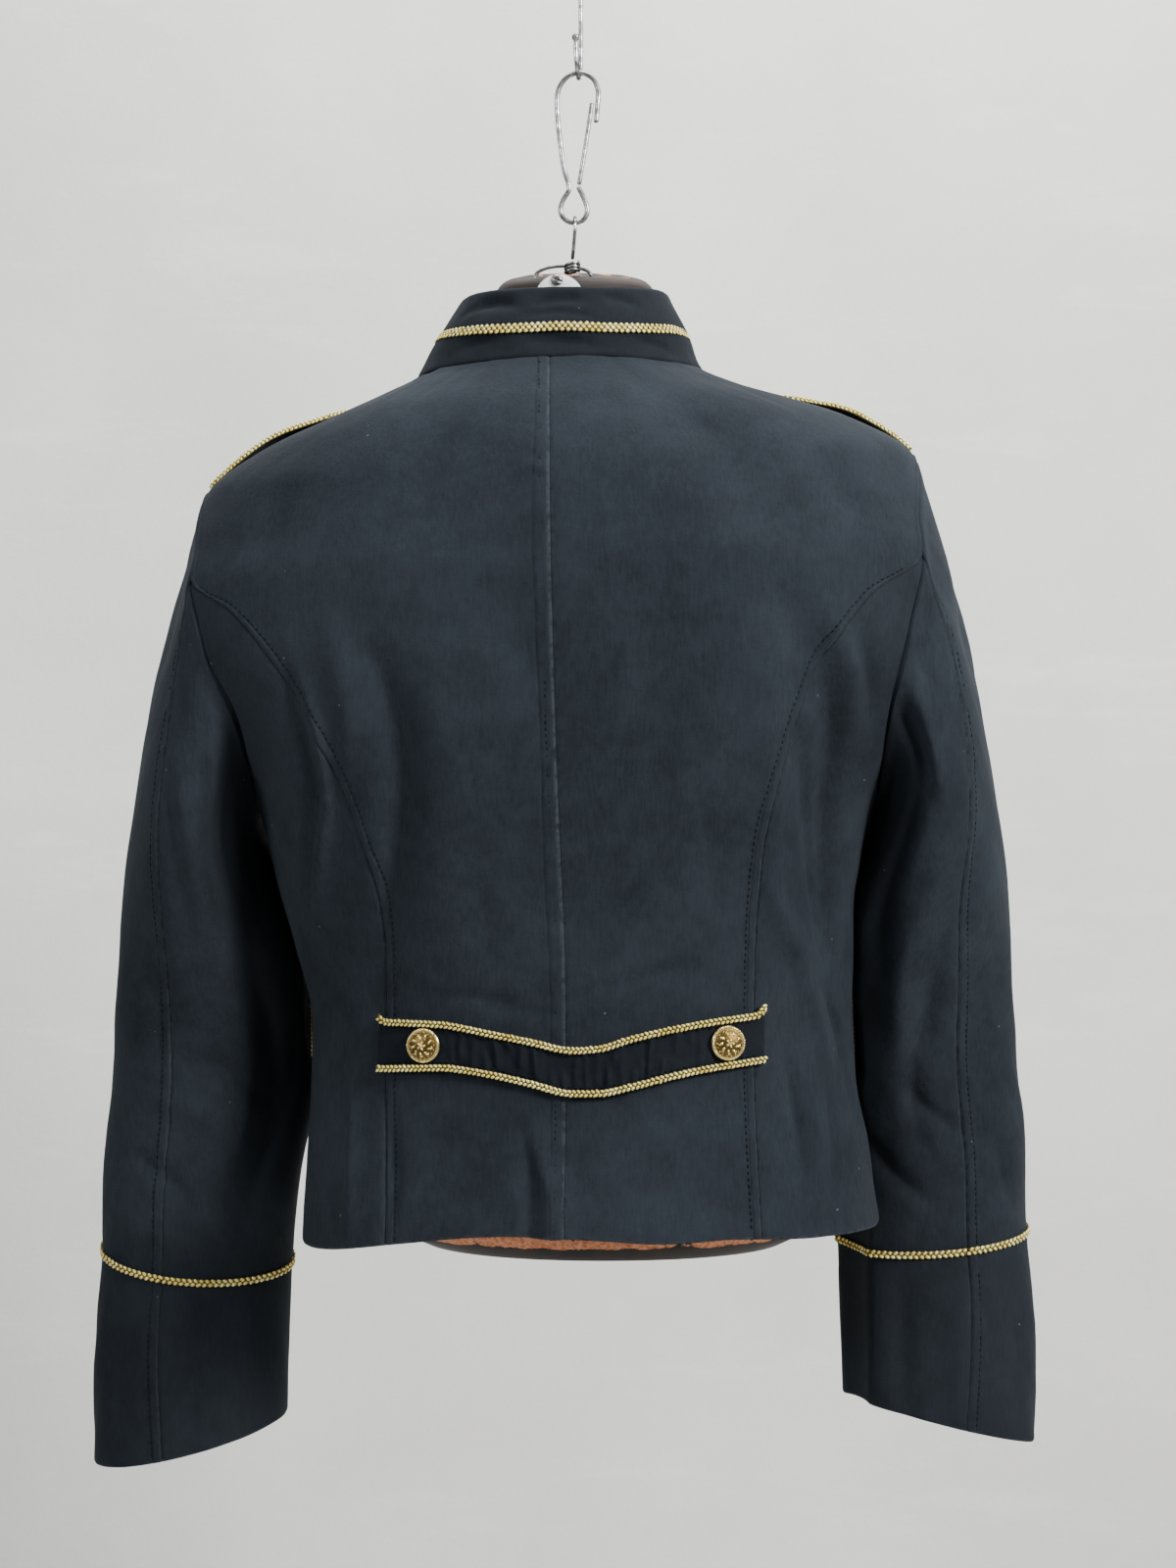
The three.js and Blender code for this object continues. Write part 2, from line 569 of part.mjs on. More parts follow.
// The gathered tab across the back: its top and bottom edges between two ends.
const TAB_ENDS = { left: -124, right: 103.5, thick: 1.6, lift: 0.5 };
const TAB_EDGES = [
  { level: -124, top: 657, bottom: 688 },
  { level: -88, top: 658.5, bottom: 688 },
  { level: -58, top: 664, bottom: 692 },
  { level: -36, top: 668.5, bottom: 697 },
  { level: -8, top: 674.5, bottom: 704 },
  { level: 10, top: 673, bottom: 703.5 },
  { level: 26, top: 665.5, bottom: 699 },
  { level: 56, top: 660.5, bottom: 692.5 },
  { level: 103.5, top: 654, bottom: 685.5 },
];
const TAB_GATHERS = { from: -84, to: 70, count: 20, height: 0.9, stepsEach: 3 };
const TAB_BUTTON = { left: -96, right: 81.5, level: 673, radius: 10.5, height: 6.2 };

// Sideways places of the tab's columns: a few plain ones at each end, three to each gather.
function tabPlaces() {
  const places = [];
  const plain = 4;
  const inside = { start: TAB_ENDS.left, end: TAB_ENDS.right };
  const gathers = TAB_GATHERS.count * TAB_GATHERS.stepsEach;
  const run = (from, to, count) => {
    for (let k = 0; k < count; k += 1) places.push(from + (to - from) * k / count);
  };
  run(inside.start, TAB_GATHERS.from, plain);
  run(TAB_GATHERS.from, TAB_GATHERS.to, gathers);
  run(TAB_GATHERS.to, inside.end, plain);
  places.push(inside.end);
  return places;
}

function gatherHeight(x) {
  const t = (x - TAB_GATHERS.from) / (TAB_GATHERS.to - TAB_GATHERS.from);
  if (t <= 0 || t >= 1) return 0;
  return TAB_GATHERS.height * (0.5 - 0.5 * Math.cos(2 * Math.PI * t * TAB_GATHERS.count));
}

// A point on the back at a sideways place and level, moved out of the cloth.
function backPoint(x, level, out) {
  return clothPoint(angleAt(x, level), level, out);
}

function addTab() {
  const places = tabPlaces();
  const inner = [];
  const outer = [];
  for (const share of [0, 0.5, 1]) {
    const level = (x) => {
      const top = read(TAB_EDGES, x, 'top');
      return top + share * (read(TAB_EDGES, x, 'bottom') - top);
    };
    const base = CLOTH + TAB_ENDS.lift;
    inner.push(places.map((x) => backPoint(x, level(x), base)));
    outer.push(places.map((x) => backPoint(x, level(x), base + TAB_ENDS.thick + gatherHeight(x))));
  }
  addMesh('back_tab', slab(inner, outer), 'cloth');
  for (const [name, key] of [['top', 'top'], ['bottom', 'bottom']]) {
    const inset = key === 'top' ? BRAID.tabWidth / 2 : -BRAID.tabWidth / 2;
    const path = [];
    for (let n = 0; n <= 30; n += 1) {
      const x = TAB_ENDS.left + (TAB_ENDS.right - TAB_ENDS.left) * n / 30;
      const level = read(TAB_EDGES, x, key) + inset;
      path.push({ degrees: angleAt(x, level), level });
    }
    const lift = CLOTH + TAB_ENDS.lift + TAB_ENDS.thick + TAB_GATHERS.height + TRIM_LIFT;
    addMesh(`tab_braid_${name}`, braidAlong(path, BRAID.tabWidth, lift, BRAID.thick), 'braid');
  }
  for (const name of ['left', 'right']) {
    const degrees = angleAt(TAB_BUTTON[name], TAB_BUTTON.level);
    const lift = CLOTH + TAB_ENDS.lift + TAB_ENDS.thick + 0.5;
    addButton(`tab_button_${name}`, degrees, TAB_BUTTON.level, lift, TAB_BUTTON);
  }
}

// A domed metal button whose back lies on the cloth.
function addButton(name, degrees, level, lift, { radius, height }) {
  const rim = height * 0.28;
  const profile = [
    new THREE.Vector2(0, 0),
    new THREE.Vector2(radius * 0.93, 0),
    new THREE.Vector2(radius, rim * 0.5),
    new THREE.Vector2(radius * 0.96, rim),
    new THREE.Vector2(radius * 0.72, height * 0.72),
    new THREE.Vector2(radius * 0.38, height * 0.95),
    new THREE.Vector2(0, height),
  ];
  const mesh = addMesh(name, new THREE.LatheGeometry(profile, 12), 'gold');
  const normal = normalOf(basePoint, degrees, level, 1, 1.5);
  mesh.position.copy(clothPoint(degrees, level, lift));
  mesh.quaternion.setFromUnitVectors(new THREE.Vector3(0, 1, 0), normal);
}

const FRONT_BUTTONS = { count: 7, from: 345, to: 755, radius: 9.5, height: 5.6, degrees: 180 };

function addFrontButtons() {
  const { count, from, to, degrees } = FRONT_BUTTONS;
  for (let n = 0; n < count; n += 1) {
    const level = from + (to - from) * n / (count - 1);
    const lift = BUTTON_OVERLAP.lift + CLOTH + 0.5;
    addButton(`front_button_${n + 1}`, degrees, level, lift, FRONT_BUTTONS);
  }
}

// Shoulder straps: along the shoulder by level, across it in millimetres, + is towards the front.
const STRAP = { from: 283, to: 333, back: -3, front: 37, thick: 1.6, lift: 0.45, arch: 3.4, rows: 9 };
const STRAP_BUTTON = { share: 0.13, radius: 7.5, height: 4.6 };

function strapPoint(side, share, across, out) {
  const level = STRAP.from + (STRAP.to - STRAP.from) * share;
  const row = sectionRow(level);
  const depth = across < 0 ? row.back : row.front;
  const turn = Math.acos((Math.abs(across) / depth) ** (row.power / 2)) / RAD;
  const degrees = side * (across < 0 ? turn : 180 - turn);
  const arch = STRAP.arch * Math.sin(Math.PI * THREE.MathUtils.clamp(share, 0, 1)) ** 2;
  return {
    point: clothPoint(degrees, level, CLOTH + STRAP.lift + arch + out),
    normal: normalOf(basePoint, degrees, level, 1, 1.5),
    degrees,
    level,
  };
}

// The strap's half width narrows to a blunt point at the neck end.
function strapAcross(share, place) {
  const middle = (STRAP.back + STRAP.front) / 2;
  const half = (STRAP.front - STRAP.back) / 2 * Math.min(1, 0.45 + 3.4 * share);
  return middle + place * half;
}

function addStrap({ name, side }) {
  const grid = (out) => {
    const lines = [];
    for (let i = 0; i <= STRAP.rows; i += 1) {
      const share = i / STRAP.rows;
      lines.push([-1, -0.5, 0, 0.5, 1].map((place) => (
        strapPoint(side, share, strapAcross(share, place), out).point)));
    }
    return lines;
  };
  addMesh(`epaulette_${name}`, slab(grid(0), grid(STRAP.thick)), 'cloth');
  const inset = 0.86;
  const path = [];
  for (let i = STRAP.rows; i > 0; i -= 1) path.push([i / STRAP.rows, -inset]);
  for (const place of [-inset, -0.3, 0.3, inset]) path.push([0.035, place]);
  for (let i = 1; i <= STRAP.rows; i += 1) path.push([i / STRAP.rows, inset]);
  const places = path.map(([share, place]) => strapPoint(side, share, strapAcross(share, place), 0));
  const centres = places.map(({ point }) => point);
  const normals = places.map(({ normal }) => normal);
  const braid = braidStrip(centres, normals, BRAID.tabWidth, STRAP.thick + TRIM_LIFT, BRAID.thick);
  addMesh(`epaulette_braid_${name}`, braid, 'braid');
  const spot = strapPoint(side, STRAP_BUTTON.share, strapAcross(STRAP_BUTTON.share, 0.1), 0);
  const arch = STRAP.arch * Math.sin(Math.PI * STRAP_BUTTON.share) ** 2;
  const lift = CLOTH + STRAP.lift + arch + STRAP.thick + 0.6;
  addButton(`epaulette_button_${name}`, spot.degrees, spot.level, lift, STRAP_BUTTON);
}

// A flap has a braid down its end near the side seam and along its bottom.

function addFlap({ name, side }) {
  const grid = (out) => [0, 0.5, 1].map((share) => {
    const line = [];
    for (let j = 0; j <= FLAP.columns; j += 1) {
      const degrees = side * (FLAP.from + (FLAP.to - FLAP.from) * j / FLAP.columns);
      line.push(clothPoint(degrees, FLAP.top + (FLAP.bottom - FLAP.top) * share, CLOTH + FLAP.lift + out));
    }
    return line;
  });
  addMesh(`flap_${name}`, slab(grid(0), grid(FLAP.thick)), 'cloth');
  const path = [];
  const edge = 1.2;
  for (const share of [0, 0.33, 0.66]) {
    path.push({ degrees: side * (FLAP.from + edge), level: FLAP.top + (FLAP.bottom - FLAP.top) * share });
  }
  for (let j = 0; j <= 2 * FLAP.columns; j += 1) {
    const degrees = FLAP.from + edge + (FLAP.to - FLAP.from - edge) * j / (2 * FLAP.columns);
    path.push({ degrees: side * degrees, level: FLAP.bottom - BRAID.tabWidth / 2 });
  }
  const lift = CLOTH + FLAP.lift + FLAP.thick + TRIM_LIFT;
  addMesh(`flap_braid_${name}`, braidAlong(path, BRAID.tabWidth, lift, BRAID.thick), 'braid');
}

// What the form hangs on, from the hook down to the neck, centred on one hanging line.
const HANG = { x: -7, y: -28 };
const WIRE = { hook: 1.3, snap: 1.6, gate: 1.0, bail: 1.1, sides: 6 };

// A round wire along a smooth path of points.
function addWire(name, points, radius, steps, look = 'steel') {
  const outline = new THREE.Shape();
  for (let k = 0; k < WIRE.sides; k += 1) {
    const turn = 2 * Math.PI * k / WIRE.sides;
    const method = k === 0 ? 'moveTo' : 'lineTo';
    outline[method](radius * Math.cos(turn), radius * Math.sin(turn));
  }
  outline.closePath();
  const path = new THREE.CatmullRomCurve3(points.map(([x, y, z]) => new THREE.Vector3(HANG.x + x, HANG.y + y, z)));
  addMesh(name, new THREE.ExtrudeGeometry(outline, { steps, extrudePath: path, bevelEnabled: false }), look);
}

// The J hook's curl turns towards the back of the jacket and ends in a small ball.
const HOOK = { curl: 9.5, bottom: -88.5, tip: -66, shank: 2.5 };

function addHook() {
  const points = [[HOOK.shank, 0, 0], [HOOK.shank, 0, -30], [HOOK.shank, 0, HOOK.bottom + HOOK.curl + 4]];
  const centre = HOOK.bottom + HOOK.curl;
  for (let k = 0; k <= 6; k += 1) {
    const turn = Math.PI * k / 6;
    points.push([HOOK.shank - k * 0.45, -HOOK.curl * (1 - Math.cos(turn)), centre - HOOK.curl * Math.sin(turn)]);
  }
  points.push([HOOK.shank - 3, -2 * HOOK.curl, HOOK.tip - 3]);
  addWire('j_hook', points, WIRE.hook, 26);
  const ball = addMesh('j_hook_ball', new THREE.SphereGeometry(2.3, 8, 6), 'steel');
  ball.position.set(HANG.x + HOOK.shank - 3, HANG.y - 2 * HOOK.curl, HOOK.tip - 3 + 2.3 + SEAM_GAP);
}

// The snap hook: a wire loop that hangs in the curl, drawn in to an eye below, and its spring gate.
const SNAP = { top: -85.3, eye: -175.9, y: -9.5 };

function addSnapHook() {
  const y = SNAP.y;
  const loop = [
    [12.2, y, SNAP.top - 27], [13.8, y, SNAP.top - 15], [11.5, y, SNAP.top - 5], [3, y, SNAP.top], [-5.5, y, SNAP.top - 3],
    [-11.5, y, SNAP.top - 14], [-12, y, SNAP.top - 26], [-8, y, SNAP.top - 50], [-5, y, SNAP.top - 68],
    [-9.6, y, SNAP.eye + 10], [-9.4, y, SNAP.eye + 3], [-1, y, SNAP.eye - 1], [7.6, y, SNAP.eye + 3], [8, y, SNAP.eye + 10],
    [4.2, y, SNAP.top - 66],
  ];
  addWire('snap_hook', loop, WIRE.snap, 46);
  const gate = [[12, y, SNAP.top - 27.5], [7, y, SNAP.top - 41], [4.6, y, SNAP.top - 54], [4.2, y, SNAP.top - 65.5]];
  addWire('snap_gate', gate, WIRE.gate, 8);
}

// The swivel link hooks into the snap's eye and ends in a pin above the bail's wrapped coil.
const SWIVEL = { top: -173.9, foot: -196.6 };

function addSwivel() {
  const y = SNAP.y;
  const link = [
    [-1, y + 4.2, SWIVEL.top - 7], [-1, y + 3.4, SWIVEL.top - 2], [-1, y, SWIVEL.top], [-1, y - 3.6, SWIVEL.top - 2.6],
    [-1, y - 4.2, SWIVEL.top - 8], [-1.5, y - 2, SWIVEL.top - 15], [-2, y, SWIVEL.top - 20], [-2.5, 0, SWIVEL.foot],
  ];
  addWire('swivel_link', link, WIRE.bail, 22);
}

// A wire bail stands on the neck, with a wrapped coil round its crown.
const BAIL = { left: -26, right: 9, crown: -201.5, leftFoot: -209.3, rightFoot: -207.3 };
const COIL = { inside: 2.7, outside: 3.7, length: 11, x: -2.5 };

function addBail() {
  const points = [];
  for (let k = 0; k <= 8; k += 1) {
    const turn = Math.PI * k / 8;
    const share = k / 8;
    const middle = (BAIL.left + BAIL.right) / 2;
    const half = (BAIL.right - BAIL.left) / 2;
    const foot = BAIL.leftFoot + (BAIL.rightFoot - BAIL.leftFoot) * share;
    points.push([middle - half * Math.cos(turn), 0, foot + (BAIL.crown - foot) * Math.sin(turn)]);
  }
  addWire('neck_bail', points, WIRE.bail, 14);
  const half = COIL.length / 2;
  const ring = [[COIL.inside, -half], [COIL.outside, -half], [COIL.outside, half], [COIL.inside, half], [COIL.inside, -half]];
  const profile = ring.map(([radius, along]) => new THREE.Vector2(radius, along));
  const coil = addMesh('bail_coil', new THREE.LatheGeometry(profile, 12), 'steel');
  coil.rotation.z = -Math.PI / 2;
  coil.position.set(HANG.x + COIL.x, HANG.y, BAIL.crown);
}

// An upright half-round plate behind the neck, held by one screw.
const PLATE = { x: -18.5, radius: 12.5, middle: -223.3, foot: -233, inside: -46.2, thick: 1.8 };
const SCREW = { x: -19, z: -214, radius: 2.9, height: 1.6 };

function addPlate() {
  const outline = new THREE.Shape();
  outline.moveTo(PLATE.radius, PLATE.foot - PLATE.middle);
  outline.absarc(0, 0, PLATE.radius, 0, Math.PI, false);
  outline.lineTo(-PLATE.radius, PLATE.foot - PLATE.middle);
  outline.closePath();
  const shape = new THREE.ExtrudeGeometry(outline, { depth: PLATE.thick, bevelEnabled: false, curveSegments: 10 });
  const plate = addMesh('neck_plate', shape, 'plate');
  plate.rotation.x = Math.PI / 2;
  plate.position.set(PLATE.x, PLATE.inside, PLATE.middle);
  const face = PLATE.inside - PLATE.thick - SEAM_GAP;
  const head = [[0, 0], [SCREW.radius, 0], [SCREW.radius * 0.9, SCREW.height * 0.6], [SCREW.radius * 0.5, SCREW.height], [0, SCREW.height]];
  const profile = head.map(([radius, along]) => new THREE.Vector2(radius, along));
  const screw = addMesh('plate_screw', new THREE.LatheGeometry(profile, 12), 'steel');
  screw.rotation.z = Math.PI;
  screw.position.set(SCREW.x, face, SCREW.z);
}

SLEEVE_SIDES.forEach(addPanels);
addCollar();
addCollarBraid();
SLEEVE_SIDES.forEach(addSleeve);
SLEEVE_SIDES.forEach(addStrap);
addTab();
addFrontButtons();
SLEEVE_SIDES.forEach(addFlap);
addForm();
addHook();
addSnapHook();
addSwivel();
addBail();
addPlate();

// The origin is the hook's top, where the whole thing is held.
const ORIGIN = new THREE.Vector3(HANG.x + HOOK.shank, HANG.y, 0);
group.children.forEach((mesh) => mesh.position.sub(ORIGIN));

export default group;
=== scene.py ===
import math

import bpy
import numpy as np
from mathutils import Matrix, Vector


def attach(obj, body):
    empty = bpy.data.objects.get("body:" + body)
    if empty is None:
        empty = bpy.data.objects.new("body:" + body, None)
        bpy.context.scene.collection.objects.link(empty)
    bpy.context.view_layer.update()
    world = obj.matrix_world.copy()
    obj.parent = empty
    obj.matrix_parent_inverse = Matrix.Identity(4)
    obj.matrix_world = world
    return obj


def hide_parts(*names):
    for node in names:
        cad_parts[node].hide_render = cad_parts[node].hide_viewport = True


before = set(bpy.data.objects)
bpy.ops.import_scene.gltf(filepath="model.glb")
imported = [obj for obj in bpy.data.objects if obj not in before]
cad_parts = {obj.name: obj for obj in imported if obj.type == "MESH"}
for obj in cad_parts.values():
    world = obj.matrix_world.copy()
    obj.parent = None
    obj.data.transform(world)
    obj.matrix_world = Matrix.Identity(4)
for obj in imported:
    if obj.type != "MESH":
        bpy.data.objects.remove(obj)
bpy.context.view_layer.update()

# Sizes are in millimetres up to the point where a mesh is made. Blender works in metres.
MM = 0.001
CLOTH = 1.6
HEM_LEVEL = 786.0
NECK_LEVEL = 263.0
# Sizes below are given about the hanging line's own place. The model's origin is the hook's top.
SHIFT = np.array([4.5, 28.0, 0.0])


def table(names, rows):
    """A short table with named columns, as one array for each name."""
    data = np.array(rows, float)
    return {name: data[:, k] for k, name in enumerate(names.split())}


# Lines round the collar and the body, from the collar's top to the hem.
SECTIONS = table("level half back front power shift side fore tilt", [
    (219, 62, 51, 50, 2.0, -14, -223, -286, 0),
    (241, 77, 57, 57, 2.0, -16, -245, -309, 1),
    (263, 89, 62, 64, 2.0, -17, -266, -332, 2),
    (275, 112, 74, 74, 2.0, -17, -277, -340, 3),
    (292, 147, 90, 86, 2.1, -17, -290, -351, 6),
    (312, 183, 101, 98, 2.1, -17, -304, -364, 9),
    (335, 218, 109, 108, 2.2, -17, -328, -380, 12),
    (363, 233, 114, 116, 2.3, -18, -362, -400, 11),
    (400, 248, 117, 124, 2.3, -19, -400, -425, 8),
    (432, 243, 117, 130, 2.3, -19, -432, -448, 5),
    (480, 217, 115, 134, 2.3, -15, -480, -486, 2),
    (505, 204, 112, 132, 2.3, -14, -505, -508, 1),
    (530, 191, 109, 128, 2.35, -14, -530, -531, 0),
    (580, 179, 103, 118, 2.4, -13, -580, -580, 0),
    (620, 172, 98, 108, 2.4, -8.5, -621, -620, 0),
    (660, 167, 95, 101, 2.4, -3.5, -663, -661, 1),
    (700, 168, 97, 101, 2.4, -2.5, -705, -703, 3),
    (740, 173, 101, 104, 2.4, -0.5, -748, -745, 5),
    (786, 178, 106, 109, 2.4, 2, -797, -792, 6.5),
])

# Sideways places of the back's seams. The fronts repeat them.
SEAMS = table("level middle left right", [
    (263, -23, -110, 66),
    (391, -21.5, -238, 200),
    (410, -21, -214, 170),
    (449, -20, -183, 139),
    (500, -18.5, -155, 117),
    (550, -16.5, -136, 103.5),
    (585, -15, -125.5, 100),
    (624, -13.5, -120.8, 98.5),
    (690, -13, -120, 98),
    (786, -14, -119.5, 101.8),
])
ARMHOLE = {"level": 432, "half_height": 97, "reach": 32, "steps": 11, "seam": 4, "fore_seam": 15,
           "clear": 0.8, "tip": 0.15}

# Soft troughs and ridges of the worn cloth, in degrees round from the centre back and levels.
FOLDS = table("start end top bottom width depth", [
    (-44, -40, 470, 690, 9, -3.2),
    (40, 58, 440, 680, 8, -3.4),
    (54, 72, 500, 700, 7, -2.2),
    (-70, -62, 500, 700, 7, -2.6),
    (-12, -6, 700, 830, 6, 2.2),
    (-24, -26, 715, 830, 7, -1.8),
    (46, 49, 705, 830, 6, -2.0),
    (130, 142, 470, 640, 9, -2.4),
    (-128, -141, 460, 650, 9, -2.4),
])

SLEEVE_MIDDLE = -15.0
SLEEVE_RINGS = table("out y z half deep roll pitch seam", [
    (220, 4, -478, 64, 68, 65, 6, 58),
    (228, 12, -530, 42, 71, 26, 8, 63),
    (220.5, 26, -622, 62.5, 51, 7, 7, 67),
    (224, 42, -700, 64, 42, 3, 9, 70),
    (234, 52, -762, 62, 38, 4, 12, 72),
    (238, 58, -818, 60, 37, 4, 14, 73),
    (240.5, 59, -852, 61, 39, -2, 9, 74),
    (242, 59, -890, 62, 41, -8, 4, 76),
    (242.5, 59, -936, 62.5, 43, -14, 0, 79),
])
CUFF_RING = 6
SIDES = [
    {"name": "left", "side": -1, "drop": -6, "pitch": 5},
    {"name": "right", "side": 1, "drop": 6, "pitch": -5},
]
BODY_CLEARANCE = 4.8
CLEAR_FROM = {"level": 500, "ramp": 24}
FLAP = {"from": 96, "to": 140, "top": 654, "bottom": 688, "thick": 1.6, "lift": 0.7, "room": 5.2, "ramp": 30}


def read(columns, at, key):
    """One column of a table at a level, with a smooth curve that doesn't overshoot."""
    x = columns["level"]
    y = columns[key]
    slope = np.diff(y) / np.diff(x)
    tangent = np.empty_like(y)
    tangent[0] = slope[0]
    tangent[-1] = slope[-1]
    same = slope[:-1] * slope[1:] > 0
    total = np.where(same, slope[:-1] + slope[1:], 1.0)
    tangent[1:-1] = np.where(same, 2 * slope[:-1] * slope[1:] / total, 0.0)
    at = np.clip(at, x[0], x[-1])
    i = np.clip(np.searchsorted(x, at, side="right") - 1, 0, len(x) - 2)
    span = x[i + 1] - x[i]
    t = (at - x[i]) / span
    t2 = t * t
    t3 = t2 * t
    return (y[i] * (2 * t3 - 3 * t2 + 1) + y[i + 1] * (3 * t2 - 2 * t3)
            + span * (tangent[i] * (t3 - 2 * t2 + t) + tangent[i + 1] * (t3 - t2)))


def smoothstep(value, low, high):
    t = np.clip((value - low) / (high - low), 0, 1)
    return t * t * (3 - 2 * t)


def bump(value, middle, width):
    return np.exp(-((value - middle) / width) ** 2)


def window(value, low, full, fall, end):
    """0 below low and above end, 1 from full to fall, smooth in between."""
    return smoothstep(value, low, full) * (1 - smoothstep(value, fall, end))


def rolled(away, width):
    """How much a rounded edge draws in at a distance from it: 1 at the edge, about 0 beyond two widths."""
    return np.exp(-(away / width) ** 1.5)


def close_ends(low, high, near, middle):
    """Places from low to high, with closer ones by both ends."""
    near = np.asarray(near)
    return np.concatenate([low + near, middle, high - near[::-1]])


def extended(rows):
    """Rows with one more at each end, in line with the two beside it."""
    return np.stack([2 * rows[0] - rows[1], *rows, 2 * rows[-1] - rows[-2]])


def curve_between(x0, x1, x2, x3, d0, d1, d2, w):
    """The point at share w from x1 to x2, on a smooth curve through four points with steps d0 to d2."""
    t1 = ((x1 - x0) / d0 - (x2 - x0) / (d0 + d1) + (x2 - x1) / d1) * d1
    t2 = ((x2 - x1) / d1 - (x3 - x1) / (d1 + d2) + (x3 - x2) / d2) * d1
    return x1 + w * (t1 + w * (3 * (x2 - x1) - 2 * t1 - t2 + w * (2 * (x1 - x2) + t1 + t2)))


def unit(v):
    return v / np.maximum(np.linalg.norm(v, axis=-1, keepdims=True), 1e-9)


def oval(row, degrees):
    """A point of a superellipse line round the body."""
    s = np.sin(np.radians(degrees))
    c = np.cos(np.radians(degrees))
    reach = 2 / row["power"]
    x = row["shift"] + row["half"] * np.sign(s) * np.abs(s) ** reach
    y = -np.where(c > 0, row["back"], row["front"]) * np.sign(c) * np.abs(c) ** reach
    middle = np.where(c > 0, -row["level"], row["fore"])
    z = middle * c * c + row["side"] * s * s + row["tilt"] * s
    return np.stack(np.broadcast_arrays(x, y, z), axis=-1)


def section(level):
    level = np.asarray(level, float)
    row = {key: read(SECTIONS, level, key) for key in SECTIONS if key != "level"}
    row["level"] = level
    return row


def base_point(degrees, level):
    point = oval(section(level), degrees)
    point[..., 2] -= np.maximum(0, level - HEM_LEVEL)
    return point


def base_normal(degrees, level):
    across = base_point(degrees + 1, level) - base_point(degrees - 1, level)
    down = base_point(degrees, level + 1.5) - base_point(degrees, level - 1.5)
    return unit(np.cross(down, across))


def fold_depth(degrees, level):
    """Depth of the broad folds, positive outward."""
    depth = np.zeros(np.broadcast(degrees, level).shape)
    for k in range(len(FOLDS["start"])):
        t = (level - FOLDS["top"][k]) / (FOLDS["bottom"][k] - FOLDS["top"][k])
        middle = FOLDS["start"][k] + (FOLDS["end"][k] - FOLDS["start"][k]) * t
        inside = (t > 0) & (t < 1)
        depth += np.where(inside, FOLDS["depth"][k] * np.sin(np.pi * np.clip(t, 0, 1)), 0) * bump(
            degrees, middle, FOLDS["width"][k])
    return depth


def cloth_point(degrees, level, out=0.0):
    """The cloth's inner face, moved out by a distance."""
    lift = np.asarray(fold_depth(degrees, level) + out)
    return base_point(degrees, level) + base_normal(degrees, level) * lift[..., None]


def angle_at(x, level, fore=False):
    """Degrees round to the point of a line whose sideways place is x."""
    row = section(level)
    part = np.minimum(1, np.abs(x - row["shift"]) / row["half"])
    angle = np.degrees(np.arcsin(part ** (row["power"] / 2))) * np.sign(x - row["shift"])
    return np.sign(angle) * 180 - angle if fore else angle


def edge_degrees(level):
    """Where a panel ends at the armhole, or at the shoulder and side seams above and below it."""
    turn = np.arccos(np.clip((ARMHOLE["level"] - level) / ARMHOLE["half_height"], -1, 1))
    return 90 - ARMHOLE["reach"] * np.sin(turn)


SEAM_TURN = math.pi * ARMHOLE["seam"] / ARMHOLE["steps"]
PRINCESS_LEVEL = ARMHOLE["level"] - ARMHOLE["half_height"] * math.cos(SEAM_TURN)


def princess_degrees(level, side, fore):
    """Degrees round to the princess seam, which runs into the armhole. fore is the front's."""
    edge = edge_degrees(level)
    x = read(SEAMS, level, "left" if side < 0 else "right")
    seam = np.abs(angle_at(x, level, fore))
    if fore:
        return np.where(level < PRINCESS_LEVEL, 180 - edge, np.maximum(seam, 180 - edge + ARMHOLE["clear"]))
    return np.where(level < PRINCESS_LEVEL, edge, np.minimum(seam, edge - ARMHOLE["clear"]))


LATTICE = 64


def noise_field(u, v, seed):
    """Smooth value noise between -1 and 1 over a plane."""
    lattice = np.random.default_rng(seed).uniform(-1, 1, (LATTICE, LATTICE))
    iu = np.floor(u).astype(int)
    iv = np.floor(v).astype(int)
    fu = smoothstep(u - iu, 0, 1)
    fv = smoothstep(v - iv, 0, 1)
    at = lambda a, b: lattice[a % LATTICE, b % LATTICE]
    low = at(iu, iv) * (1 - fu) + at(iu + 1, iv) * fu
    high = at(iu, iv + 1) * (1 - fu) + at(iu + 1, iv + 1) * fu
    return low * (1 - fv) + high * fv


def new_object(name, data):
    made = bpy.data.objects.new(name, data)
    bpy.context.scene.collection.objects.link(made)
    return made


def make_mesh(name, vertices, faces, material, uv=None):
    """A smooth mesh in metres from vertices in millimetres."""
    mesh = bpy.data.meshes.new(name)
    places = ((np.asarray(vertices) + SHIFT) * MM).tolist()
    mesh.from_pydata(places, [], faces if isinstance(faces, list) else faces.tolist())
    if uv is not None:
        layer = mesh.uv_layers.new(name="cloth")
        loops = np.empty(len(mesh.loops), dtype=np.int32)
        mesh.loops.foreach_get("vertex_index", loops)
        layer.data.foreach_set("uv", np.asarray(uv, dtype=np.float32)[loops].ravel())
    mesh.polygons.foreach_set("use_smooth", [True] * len(mesh.polygons))
    mesh.update()
    mesh.materials.append(material)
    return new_object(name, mesh)


def set_values(piece, name, values):
    """One number at each vertex, which the piece's material reads."""
    layer = piece.data.attributes.new(name, "FLOAT", "POINT")
    layer.data.foreach_set("value", values.astype(np.float32))


def dress(piece, slot, *nodes):
    """Fixes a finished piece to the body, in the place of its CAD nodes."""
    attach(piece, "root")
    if nodes:
        piece.name = f"{nodes[0]}_dressed"
        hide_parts(*nodes)


